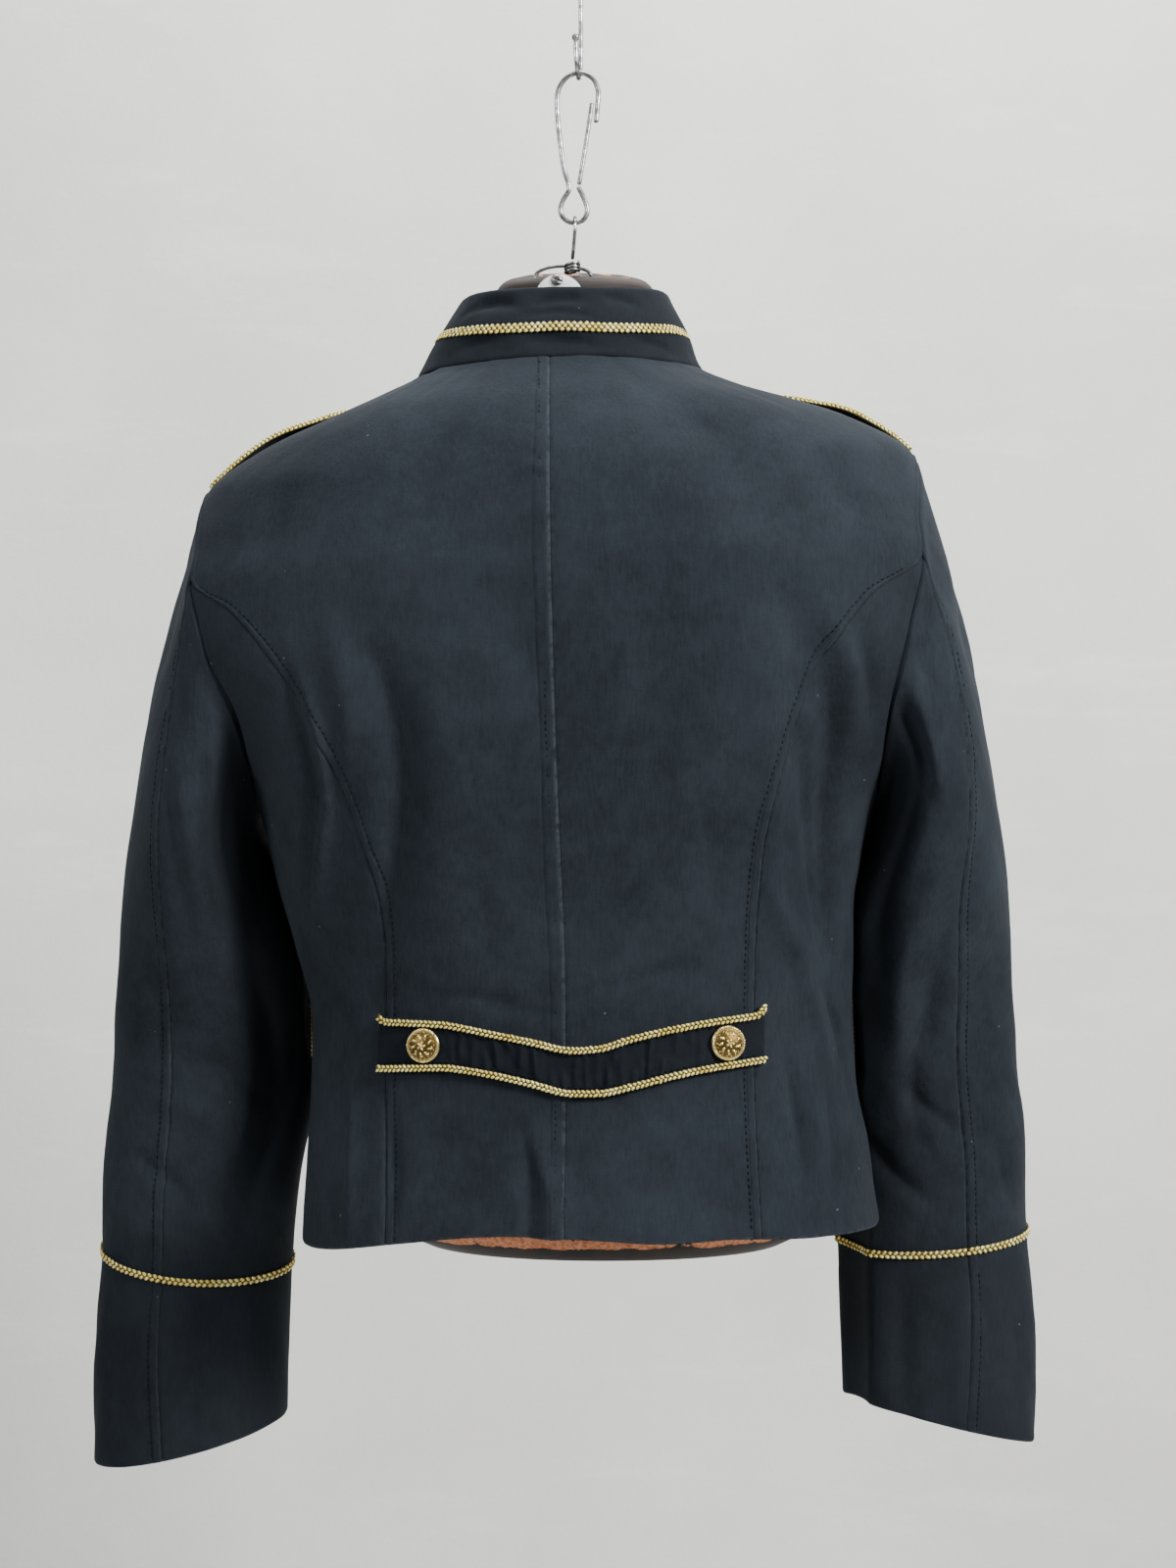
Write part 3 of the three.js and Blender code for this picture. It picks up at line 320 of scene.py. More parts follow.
def shell_faces(rows, columns):
    """Quads of a closed wall between an inner and an outer grid of points."""
    i, j = np.meshgrid(np.arange(rows - 1), np.arange(columns - 1), indexing="ij")
    at = lambda layer, a, b: (layer * rows + a) * columns + b
    i = i.ravel()
    j = j.ravel()
    outer = np.stack([at(1, i, j), at(1, i + 1, j), at(1, i + 1, j + 1), at(1, i, j + 1)], axis=1)
    inner = np.stack([at(0, i, j), at(0, i, j + 1), at(0, i + 1, j + 1), at(0, i + 1, j)], axis=1)
    r = np.arange(rows - 1)
    c = np.arange(columns - 1)
    last = columns - 1
    foot = rows - 1
    zero = 0 * r
    start = np.stack([at(1, r, zero), at(0, r, zero), at(0, r + 1, zero), at(1, r + 1, zero)], axis=1)
    end = np.stack([at(0, r, last), at(1, r, last), at(1, r + 1, last), at(0, r + 1, last)], axis=1)
    top = np.stack([at(0, 0, c), at(1, 0, c), at(1, 0, c + 1), at(0, 0, c + 1)], axis=1)
    bottom = np.stack([at(1, foot, c), at(0, foot, c), at(0, foot, c + 1), at(1, foot, c + 1)], axis=1)
    return np.concatenate([outer, inner, start, end, top, bottom])


def facing_out(vertices, faces):
    """The faces, turned round together if the closed form is inside out."""
    a, b, c, d = (vertices[faces[:, k]] for k in range(4))
    volume = np.einsum("ij,ij->i", a, np.cross(b, c)).sum() + np.einsum("ij,ij->i", a, np.cross(c, d)).sum()
    return faces[:, ::-1] if volume < 0 else faces


def ring_faces(rows, count, turned=False):
    """Faces of a closed form of rings of points, with two more points as the middles of its ends."""
    faces = []
    for j in range(count):
        k = (j + 1) % count
        faces.append((rows * count, k, j))
        for i in range(rows - 1):
            faces.append((i * count + j, i * count + k, (i + 1) * count + k, (i + 1) * count + j))
        faces.append((rows * count + 1, (rows - 1) * count + j, (rows - 1) * count + k))
    return [(face[0], *face[:0:-1]) for face in faces] if turned else faces


def add_shell(name, inner, outer, material, uv, worn=None, dark_tone_and_painted_shade=None):
    """A sheet of cloth between two grids of points. worn pales its outer face; the last argument darkens both
    faces, as painted shade by the sleeves and evenly on the collar.
    """
    vertices = np.concatenate([inner.reshape(-1, 3), outer.reshape(-1, 3)])
    faces = facing_out(vertices, shell_faces(*inner.shape[:2]))
    piece = make_mesh(name, vertices, faces, material, np.tile(uv.reshape(-1, 2), (2, 1)))
    plain = np.zeros(inner.shape[:2])
    set_values(piece, "worn", np.stack([plain, plain if worn is None else worn]).ravel())
    if dark_tone_and_painted_shade is not None:
        set_values(piece, "dark_tone_and_painted_shade", np.stack([dark_tone_and_painted_shade, dark_tone_and_painted_shade]).ravel())
    dress(piece, "navy_cotton", name)


def worn_edge(away, kind):
    """How much a seam's pressed edge has paled."""
    return (0.8 if kind == "stitched" else 0.25) * bump(away, 0.5, 0.5)


# Seam edges: a groove at the seam, a pressed allowance with a stitch line, and its small puckers.
SEAM = {"groove": 0.8, "groove_width": 0.8, "allowance": 0.5, "stitch": 6.2, "stitch_groove": 0.6,
        "pucker": 0.55}
EDGE_STEPS = np.array([0, 0.35, 0.8, 1.4, 2.2, 3.2, 4.4, 5.3, 5.8, 6.2, 6.7, 7.4, 8.6, 10.5])


def edge_relief(away, along, kind, seed):
    """How far the outer face rises or sinks near one of a panel's edges."""
    relief = -SEAM["groove"] * rolled(away, SEAM["groove_width"])
    if kind == "stitched":
        stitch = SEAM["stitch"]
        raised = window(away, 0.3, 1.6, stitch - 0.3, stitch + 1.6)
        relief = relief + SEAM["allowance"] * raised - SEAM["stitch_groove"] * bump(away, stitch, 0.55)
        wave = noise_field((along + 0.5 * away) / 3.6, np.zeros_like(along) + seed, seed)
        wave = wave * (0.6 + 0.4 * np.sin(along / 31.0 + seed))
        relief = relief + SEAM["pucker"] * wave * bump(away, 5.0, 3.6)
    return relief


def spread(width, spacing):
    """Places across a panel, closer together by its two edges, for each row's width."""
    reach = EDGE_STEPS[-1]
    squeeze = np.minimum(1, width / (2.6 * reach))[:, None]
    near = EDGE_STEPS[None, :] * squeeze
    inside = max(4, int(width.max() / spacing))
    t = np.linspace(0, 1, inside + 2)[1:-1][None, :]
    left = near[:, -1:]
    right = width[:, None] - left
    return np.concatenate([near, left + (right - left) * t, width[:, None] - near[:, ::-1]], axis=1)


# Creases laid one by one: from one place to another, the width across and the depth in millimetres.
# A positive depth is a ridge. On the body a place is a sideways distance and a level.
CREASE_NAMES = "start top end bottom width depth"
LINE_NAMES = "start end top bottom width depth"
BODY_SCALE = 2.9
CREASE = {"drape": 1.9, "sharpness": 0.85, "bow": 0.06, "power": 1.7}
BACK_CREASES = table(CREASE_NAMES, [
    (101, 399, 151, 641, 14, -4.8),
    (83, 428, 115, 635, 16, 2.0),
    (120, 485, 143, 626, 8, -3.0),
    (151, 428, 168, 480, 8, -3.0),
    (137, 420, 155, 500, 9, 2.2),
    (103, 575, 146, 700, 10, 2.6),
    (144, 641, 160, 710, 8, -2.6),
    (115, 669, 132, 770, 9, -1.8),
    (-128, 428, -120, 615, 12, -4.2),
    (-147, 420, -144, 520, 8, 1.6),
    (-94, 455, -92, 610, 18, 1.8),
    (-51, 405, -30, 540, 13, -1.6),
    (-168, 455, -164, 600, 6, 2.6),
    (-178, 450, -171, 610, 6, -3.0),
    (24, 405, 35, 549, 18, -1.4),
    (57, 301, 92, 382, 20, -1.5),
    (-75, 307, -115, 382, 18, -1.4),
    (-30, 730, -25, 800, 6, 2.4),
    (-41, 715, -39, 800, 5, -1.8),
    (-13, 735, -9, 800, 8, -1.5),
    (122, 690, 123, 790, 4, -1.5),
    (143, 690, 144, 790, 4, -1.5),
    (133, 680, 134, 790, 6, 1.2),
    (-143, 690, -145, 790, 8, 1.4),
    (-118, 705, -119, 790, 7, -1.3),
    (-98, 645, -23, 656, 4, -0.9),
    (0, 643, 69, 629, 5, -0.9),
    (161, 370, 138, 336, 12, -1.6),
    (-195, 382, -172, 336, 12, -1.5),
    (-10, 300, 60, 290, 14, -0.8),
    (60, 520, 74, 600, 14, -1.3),
    (-70, 560, -60, 640, 12, -1.2),
])
FRONT_CREASES = table(CREASE_NAMES, [
    (150, 420, 110, 560, 13, -3.4),
    (-170, 420, -130, 560, 13, -3.4),
    (130, 440, 95, 570, 12, 1.8),
    (-150, 440, -112, 580, 12, 1.8),
    (165, 520, 135, 650, 8, -2.4),
    (-172, 520, -145, 650, 8, -2.4),
    (90, 600, 30, 640, 8, -1.5),
    (-95, 610, -35, 648, 8, -1.5),
    (130, 690, 132, 790, 7, 1.5),
    (-135, 690, -138, 790, 7, 1.5),
    (80, 705, 76, 790, 8, -1.4),
    (-85, 705, -80, 790, 8, -1.4),
    (60, 380, 100, 450, 14, -1.3),
    (-90, 380, -125, 460, 14, -1.3),
])


def placed_on_body(creases, fore):
    """The same creases with degrees in place of sideways distances."""
    placed = dict(creases)
    placed["start"] = angle_at(creases["start"], creases["top"], fore)
    placed["end"] = angle_at(creases["end"], creases["bottom"], fore)
    return placed


BODY_CREASES = (placed_on_body(BACK_CREASES, False), placed_on_body(FRONT_CREASES, True))


def crease_depth(degrees, level, creases, scale):
    """Depth of the listed creases. scale turns degrees into millimetres across."""
    u = degrees * scale
    depth = np.zeros(np.broadcast(degrees, level).shape)
    for k in range(len(creases["depth"])):
        start = np.array([creases["start"][k] * scale, creases["top"][k]])
        run = np.array([creases["end"][k] * scale, creases["bottom"][k]]) - start
        length = np.hypot(*run)
        along = ((u - start[0]) * run[0] + (level - start[1]) * run[1]) / length ** 2
        across = ((u - start[0]) * -run[1] + (level - start[1]) * run[0]) / length
        across = across + CREASE["bow"] * length * np.sin(np.pi * along)
        reach = CREASE["sharpness"] * creases["width"][k]
        taper = window(along, -0.15, 0.35, 0.6, 1.15)
        depth += creases["depth"][k] * taper * np.exp(-np.abs(across / reach) ** CREASE["power"])
    return depth * CREASE["drape"]


def body_relief(degrees, level):
    """Creases and the cloth's gentle unevenness on the body."""
    u = degrees * BODY_SCALE
    rough = 0.55 * noise_field(u / 31, level / 37, 3) + 0.24 * noise_field(u / 12, level / 15, 4)
    fine = 0.06 * noise_field(u / 4.2, level / 4.6, 5)
    return sum(crease_depth(degrees, level, creases, BODY_SCALE) for creases in BODY_CREASES) + rough + fine


PANEL_ROWS = {"shoulder": 28, "armhole": 56, "lower": 76}
FRONT_SPACING = 8.0
ARM_TURNS = np.linspace(0, math.pi, PANEL_ROWS["armhole"] + 1)
ARM_LEVELS = ARMHOLE["level"] - ARMHOLE["half_height"] * np.cos(ARM_TURNS)
FULL_LEVELS = np.concatenate([
    NECK_LEVEL + np.array([0, 0.5, 1.1]),
    np.linspace(NECK_LEVEL + 2, ARM_LEVELS[0], PANEL_ROWS["shoulder"])[:-1],
    ARM_LEVELS,
    np.linspace(ARM_LEVELS[-1], HEM_LEVEL - 2.2, PANEL_ROWS["lower"])[1:],
    HEM_LEVEL - np.array([1.4, 0.7, 0.0]),
])
SIDE_LEVELS = FULL_LEVELS[np.searchsorted(FULL_LEVELS, PRINCESS_LEVEL - 0.5) - 1:]

# How far the hem hangs below its level, by degrees round.
HEM_WAVES = table("level drop", [
    (-180, 0),
    (-150, -2.0),
    (-120, 1.5),
    (-90, 0),
    (-60, 0.5),
    (-34, -1.8),
    (-14, -3.2),
    (-3, 0),
    (11, 4.2),
    (24, 2.5),
    (40, 3.2),
    (62, 1.5),
    (90, 0),
    (125, 2.0),
    (155, -1.5),
    (190, 0),
])


def hem_drop(degrees, level):
    """How far the uneven hem hangs below its level, or above it where negative."""
    return read(HEM_WAVES, degrees, "drop") * smoothstep(level, 690, HEM_LEVEL)


def rim_relief(level):
    """The cloth turned under at the neck seam and the hem."""
    fold = 0.12 * bump(HEM_LEVEL - level, 24, 1.2)
    return -0.8 * rolled(HEM_LEVEL - level, 0.9) - 0.7 * rolled(np.abs(level - NECK_LEVEL), 1.0) - fold


def add_panel(name, levels, start, end, kinds, seed, lift=None, spacing=4.0):
    """A cloth panel between two seams, in degrees at its levels. kinds says how each edge is finished."""
    middle = (start + end) / 2
    step = np.linalg.norm(base_point(middle + 0.5, levels) - base_point(middle - 0.5, levels), axis=-1)
    width = np.abs(end - start) * step
    place = spread(width, spacing)
    degrees = start[:, None] + (end - start)[:, None] * (place / width[:, None])
    level = np.broadcast_to(levels[:, None], degrees.shape)
    far = width[:, None] - place
    relief = body_relief(degrees, level) + rim_relief(level)
    relief += edge_relief(place, level, kinds[0], seed) + edge_relief(far, level, kinds[1], seed + 9)
    raised = lift(degrees) if lift else 0.0
    inner = cloth_point(degrees, level, raised + body_relief(degrees, level) * 0.8)
    outer = cloth_point(degrees, level, raised + CLOTH + relief)
    for face in (inner, outer):
        face[..., 2] -= hem_drop(degrees, level)
    uv = np.stack([degrees * BODY_SCALE, level], axis=-1) * 0.01
    worn = worn_edge(place, kinds[0]) + worn_edge(far, kinds[1]) + bump(HEM_LEVEL - level, 0, 1.2)
    dark_tone_and_painted_shade = None
    # Painted shade on the side back panels near their outer edge, beside the sleeves.
    if name.startswith("side_back"):
        dark_tone_and_painted_shade = 0.55 * (1 - smoothstep(far, 4, 42)) * bump(level, 560, 150)
    add_shell(name, inner, outer, COTTON, uv, worn, dark_tone_and_painted_shade)


# Sleeves: columns go round from the shoulder over the back, places count rings down from the armhole.
COLUMNS = 22
TOP_COLUMNS = (ARMHOLE["fore_seam"] - COLUMNS, ARMHOLE["seam"])
UNDER_COLUMNS = (ARMHOLE["seam"], ARMHOLE["fore_seam"])


def column_turn(columns, seam):
    turns = {
        "level": np.array([0.0, ARMHOLE["seam"], ARMHOLE["steps"], ARMHOLE["fore_seam"], COLUMNS]),
        "turn": np.array([0.0, seam, 180.0, 240.0, 360.0]),
    }
    return read(turns, np.mod(columns, COLUMNS), "turn")


def ring_points(k, columns, arm):
    ring = {key: values[k] for key, values in SLEEVE_RINGS.items()}
    turn = np.radians(column_turn(columns, ring["seam"]))
    roll = math.radians(ring["roll"])
    lean = math.radians(ring["pitch"] + arm["pitch"])
    out = ring["half"] * np.cos(turn)
    back = ring["deep"] * np.sin(turn)
    x = SLEEVE_MIDDLE + arm["side"] * (ring["out"] + out * math.cos(roll))
    y = ring["y"] - back * math.cos(lean)
    z = ring["z"] + arm["drop"] + out * math.sin(roll) - back * math.sin(lean)
    return np.stack([x, y, z], axis=-1)


def armhole_place(columns, side):
    """Degrees and level on the armhole's line for columns of the sleeve."""
    columns = np.mod(columns, COLUMNS)
    behind = columns <= ARMHOLE["steps"]
    turn = np.pi * np.where(behind, columns, COLUMNS - columns) / ARMHOLE["steps"]
    level = ARMHOLE["level"] - ARMHOLE["half_height"] * np.cos(turn)
    degrees = 90 - ARMHOLE["reach"] * np.sin(turn)
    return side * np.where(behind, degrees, 180 - degrees), level


def clear_of_body(points, side):
    """Moves sleeve points sideways until they are clear of the body's side."""
    level = -points[..., 2]
    row = section(level)
    y = points[..., 1]
    part = np.minimum(np.abs(y) / np.where(y < 0, row["back"], row["front"]), 1)
    ramp = FLAP["ramp"]
    flap = window(level, FLAP["top"] - ramp, FLAP["top"], FLAP["bottom"], FLAP["bottom"] + ramp)
    room = BODY_CLEARANCE + FLAP["room"] * flap * smoothstep(y, -5, 12)
    edge = row["half"] * (1 - part ** row["power"]) ** (1 / row["power"]) + room
    short = np.maximum(0, edge - side * (points[..., 0] - row["shift"]))
    weight = smoothstep(level, CLEAR_FROM["level"], CLEAR_FROM["level"] + CLEAR_FROM["ramp"])
    points[..., 0] += np.where(part < 1, side * short * weight, 0)
    return points


def sleeve_points(columns, places, arm):
    """Inner face of a sleeve, for rows of columns at one place a row."""
    degrees, level = armhole_place(columns, arm["side"])
    knots = [cloth_point(degrees, level)]
    knots += [ring_points(k, columns, arm) for k in range(len(SLEEVE_RINGS["out"]))]
    knots = extended(knots)
    steps = np.sqrt(np.linalg.norm(np.diff(knots, axis=0), axis=-1, keepdims=True))
    segment = np.clip(np.floor(places).astype(int), 0, len(knots) - 4)
    w = (places - segment)[:, None, None]
    row = np.arange(len(places))
    near_knots = [knots[segment + k, row] for k in range(4)]
    near_steps = [steps[segment + k, row] for k in range(3)]
    return clear_of_body(curve_between(*near_knots, *near_steps, w), arm["side"])


def sleeve_normals(columns, places, arm):
    around = sleeve_points(columns + 0.15, places, arm) - sleeve_points(columns - 0.15, places, arm)
    down = sleeve_points(columns, places + 0.03, arm) - sleeve_points(columns, places - 0.03, arm)
    normal = unit(np.cross(around, down)) * arm["side"]
    degrees, level = armhole_place(columns, arm["side"])
    near = smoothstep(places, 0.0, 0.22)[:, None, None]
    return unit(base_normal(degrees, level) * (1 - near) + normal * near)


# Creases on the sleeves: turn in degrees from the outer side round over the back, and level.
SLEEVE_SCALE = 0.95
SLEEVE_CREASES = {
    "left": table(CREASE_NAMES, [
        (100, 470, 99, 640, 7, 2.2),
        (99, 630, 108, 780, 7, 2.0),
        (119, 480, 116, 640, 8, -2.6),
        (116, 630, 124, 790, 8, -2.4),
        (84, 398, 118, 455, 6, -2.2),
        (90, 450, 120, 512, 7, -2.0),
        (64, 510, 82, 625, 10, -1.8),
        (48, 600, 62, 700, 11, -1.4),
        (75, 688, 126, 722, 7, -1.8),
        (60, 716, 104, 738, 8, 1.3),
        (45, 750, 92, 790, 7, -1.7),
        (150, 520, 130, 620, 8, -1.8),
        (144, 660, 128, 760, 8, -1.6),
        (88, 822, 92, 932, 10, -1.6),
        (126, 830, 122, 925, 8, 1.4),
        (40, 850, 46, 930, 10, -1.1),
        (12, 380, 30, 455, 12, -1.4),
        (-20, 560, 10, 660, 12, -1.6),
        (-30, 700, -6, 790, 10, -1.4),
        (300, 480, 320, 570, 11, -1.6),
        (250, 560, 300, 620, 9, -2.2),
        (262, 660, 310, 770, 10, -1.8),
        (300, 860, 306, 930, 9, -1.3),
    ]),
    "right": table(CREASE_NAMES, [
        (106, 445, 101, 530, 6, -3.0),
        (94, 450, 88, 530, 6, 1.6),
        (106, 500, 110, 640, 9, -3.0),
        (81, 555, 100, 700, 10, 2.6),
        (66, 580, 84, 700, 9, -1.6),
        (80, 640, 96, 755, 8, -1.8),
        (60, 405, 88, 462, 9, -1.8),
        (48, 540, 60, 640, 10, -1.5),
        (128, 745, 94, 786, 7, -1.8),
        (100, 712, 66, 742, 7, -1.6),
        (50, 745, 30, 795, 8, -1.2),
        (150, 530, 132, 640, 8, -1.8),
        (142, 660, 128, 760, 8, -1.5),
        (110, 822, 112, 930, 10, -1.6),
        (74, 830, 80, 930, 9, 1.3),
        (36, 850, 40, 930, 10, -1.1),
        (12, 390, 30, 460, 12, -1.4),
        (-18, 570, 8, 670, 12, -1.6),
        (-26, 700, -8, 790, 10, -1.4),
        (302, 470, 318, 560, 11, -1.6),
        (252, 550, 296, 610, 9, -2.2),
        (262, 680, 306, 770, 10, -1.7),
        (298, 870, 304, 936, 9, -1.3),
    ]),
}
ROOM_FOR_BODY = 0.45
SLEEVE_EASE = {"least": 0.55, "more": 0.45}


def sleeve_relief(turn, level, arm):
    u = turn * SLEEVE_SCALE
    turned = np.where(turn > 330, turn - 360, turn)
    creases = SLEEVE_CREASES[arm["name"]]
    depth = crease_depth(turned, level, creases, SLEEVE_SCALE)
    seed = 11 if arm["side"] < 0 else 17
    around = 2 * np.pi * turn / 360
    wave = noise_field(3 + 3 * np.cos(around), level / 34 + 3 * np.sin(around), seed) * 0.6
    ripple = noise_field(9 + 8 * np.cos(around), level / 13 + 8 * np.sin(around), seed + 1) * 0.26
    inner = bump(u, 180 * SLEEVE_SCALE, 40)
    return (depth + wave + ripple) * (1 - ROOM_FOR_BODY * inner)


def cumulative(points, axis):
    step = np.linalg.norm(np.diff(points, axis=axis), axis=-1)
    start = np.zeros_like(np.take(step, [0], axis=axis))
    return np.concatenate([start, np.cumsum(step, axis=axis)], axis=axis)


SLEEVE_PLACES = np.concatenate([
    [0.004, 0.012, 0.022, 0.034, 0.05, 0.07, 0.095, 0.125, 0.16, 0.2, 0.25], np.linspace(0.31, 5.86, 118),
    [5.9, 5.935, 5.96, 5.978, 5.99, 5.997],
])
CUFF_PLACES = np.concatenate([
    [6.003, 6.01, 6.022, 6.04, 6.065, 6.1, 6.15], np.linspace(6.21, 8.9, 62),
    [8.93, 8.955, 8.975, 8.988, 9.0],
])


def sleeve_grid(arm, places, ends, spacing=4.2):
    """Columns for each row, closer together by the two seams, and the distance from each seam."""
    fine = np.broadcast_to(np.linspace(ends[0], ends[1], 90), (len(places), 90))
    around = cumulative(sleeve_points(fine, places, arm), 1)
    width = around[:, -1]
    place = spread(width - 0.1, spacing) + 0.05
    columns = np.stack([np.interp(place[i], around[i], fine[i]) for i in range(len(places))])
    return columns, place, width


def sleeve_face(columns, places, arm):
    """Places, outward directions, turn, level, ways to both ends, and creases of a part of a sleeve."""
    points = sleeve_points(columns, places, arm)
    normals = sleeve_normals(columns, places, arm)
    seam = np.interp(places, np.arange(len(SLEEVE_RINGS["seam"])) + 1, SLEEVE_RINGS["seam"])
    turn = np.stack([column_turn(columns[i], seam[i]) for i in range(len(places))])
    level = -points[..., 2]
    down = cumulative(points, 0)
    up = down[-1:] - down
    relief = sleeve_relief(turn, level, arm)
    relief = relief * smoothstep(down, 0.0, 26.0 if places[0] < 1 else 9.0)
    if places[-1] < 7:
        relief = relief * smoothstep(up, 0.0, 9.0)
    return points, normals, turn, level, down, up, relief


def add_sleeve_stitches(arm):
    """Stitches beside the sleeve's back seam, kept clear of the armhole and the cuff's braid."""
    rows = []
    for places in (SLEEVE_PLACES, CUFF_PLACES):
        places = np.linspace(places[0], places[-1], 200)
        seam = np.full((200, 1), float(ARMHOLE["seam"]))
        near = sleeve_points(seam + 0.2, places, arm) - sleeve_points(seam - 0.2, places, arm)
        columns = seam - SEAM["stitch"] * 0.4 / np.linalg.norm(near, axis=-1)
        points, normals, _, _, down, up, relief = sleeve_face(columns, places, arm)
        points = points + normals * (CLOTH + relief)[..., None]
        kept = (down[:, 0] > 14) & (up[:, 0] > 3)
        rows.append(stitches(points[kept, 0], normals[kept, 0], 96 + arm["side"]))
    add_stitch_rows(f"sleeve_stitches_{arm['name']}", rows)


def add_sleeve_piece(name, arm, places, ends, kinds):
    columns, place, width = sleeve_grid(arm, places, ends)
    points, normals, turn, level, down, up, relief = sleeve_face(columns, places, arm)
    far = width[:, None] - place
    outer = relief - 0.7 * rolled(down, 0.8) - 0.8 * rolled(up, 0.9)
    if places[0] < 1:
        ease = 0.5 + 0.5 * noise_field(columns * 1.7, np.zeros_like(columns) + 0.5, 23)
        outer += (SLEEVE_EASE["least"] + SLEEVE_EASE["more"] * ease) * window(down, 0.4, 3.0, 5.0, 16.0)
    outer += edge_relief(place, level, kinds[0], 31) + edge_relief(far, level, kinds[1], 37)
    inside = points + normals * (relief * 0.8)[..., None]
    outside = points + normals * (CLOTH + outer)[..., None]
    uv = np.stack([columns * 16, level], axis=-1) * 0.01
    worn = worn_edge(place, kinds[0]) + worn_edge(far, kinds[1]) + bump(up, 0, 1.2)
    # Painted shade on the under sleeve's side towards the body; the lower end by the cuff is darkened as
    # well.
    lower = smoothstep(level, 400, 470) * (1 - 0.5 * smoothstep(level, 700, 800))
    dark_tone_and_painted_shade = np.maximum(window(turn, 98, 118, 190, 230) * lower, 0.5 * smoothstep(level, 790, 830))
    add_shell(name, inside, outside, COTTON, uv, worn, dark_tone_and_painted_shade)


# Trims: a plait is a strip with rows of slanted strands, and stitches are small capsules.
BRAID = {"width": 6.0, "cuff": 4.8, "narrow": 4.4, "thick": 1.3, "lift": 0.35}
PLAIT = {"wide_lanes": 3, "narrow_lanes": 2, "pitch": 2.8, "coarse": 1.3, "strand": 0.31, "slant": 38,
         "waver": 0.22}


def ball_template(divisions=2):
    """A round form of unit radius from a divided cube, all quads."""
    grid = np.linspace(-1, 1, divisions + 1)
    vertices = []
    faces = []
    for axis in range(3):
        for sign in (-1, 1):
            a, b = np.meshgrid(grid, grid, indexing="ij")
            face = np.zeros(a.shape + (3,))
            face[..., axis] = sign
            face[..., (axis + 1) % 3] = a
            face[..., (axis + 2) % 3] = b * sign
            first = len(vertices) * (divisions + 1) ** 2
            vertices.append(face.reshape(-1, 3))
            for i in range(divisions):
                for j in range(divisions):
                    at = first + i * (divisions + 1) + j
                    faces.append((at, at + divisions + 1, at + divisions + 2, at + 1))
    vertices = np.concatenate(vertices)
    key = np.round(vertices, 5)
    kept, index = np.unique(key, axis=0, return_inverse=True)
    faces = np.asarray(index).reshape(-1)[np.array(faces)]
    return unit(kept), faces


BALL = ball_template()


def copies(template, origins, frames, sizes):
    """Copies of a template, each with its own origin, its three directions and its sizes."""
    vertices, faces = template
    sized = vertices[None] * sizes[:, None, :]
    placed = np.einsum("nvk,nkc->nvc", sized, frames) + origins[:, None, :]
    offset = (np.arange(len(origins)) * len(vertices))[:, None, None]
    return placed.reshape(-1, 3), (faces[None] + offset).reshape(-1, 4)


def joined(parts):
    """Several vertex and face arrays as one."""
    vertices = []
    faces = []
    total = 0
    for v, f, *_ in parts:
        vertices.append(v)
        faces.append(f + total)
        total += len(v)
    return np.concatenate(vertices), np.concatenate(faces)


def raised_copies(template, origins, frames, sizes):
    """Copies with a third array: how high each vertex stands on its own copy."""
    vertices, faces = copies(template, origins, frames, sizes)
    return vertices, faces, np.tile(template[0][:, 2], len(origins))


def gap_marked_mesh(name, parts, material):
    """One mesh from parts, with an attribute that is low in the gaps between raised forms, where the
    materials darken it: tarnish on buttons, tarnish and painted shade on braid.
    """
    vertices, faces = joined(parts)
    piece = make_mesh(name, vertices, faces, material)
    heights = [part[2] if len(part) > 2 else np.full(len(part[0]), -0.4) for part in parts]
    set_values(piece, "raised", np.concatenate(heights))
    return piece


def along_path(points, normals, spacing):
    """A path again at even steps: places, forward, sideways and outward directions."""
    run = cumulative(points, 0)
    count = max(2, int(round(run[-1] / spacing)))
    at = (np.arange(count) + 0.5) / count * run[-1]

    def read_path(values, shift):
        return np.stack([np.interp(at + shift, run, values[:, k]) for k in range(3)], axis=-1)

    out = unit(read_path(normals, 0.0))
    forward = unit(read_path(points, 0.6) - read_path(points, -0.6))
    sideways = unit(np.cross(out, forward))
    return read_path(points, 0.0), forward, sideways, unit(np.cross(forward, sideways))


def strip(points, normals, width, low, high):
    """A flat closed band along a path, between two heights over it."""
    length = cumulative(points, 0)[-1]
    count = max(8, int(length / 2.5))
    place, _, sideways, out = along_path(points, normals, length / count)
    place[0] = points[0]
    place[-1] = points[-1]
    half = sideways * (width / 2)
    vertices = np.concatenate([
        np.stack([place - half + out * rise, place + half + out * rise], axis=1).reshape(-1, 3)
        for rise in (low, high)])
    return vertices, facing_out(vertices, shell_faces(count, 2))


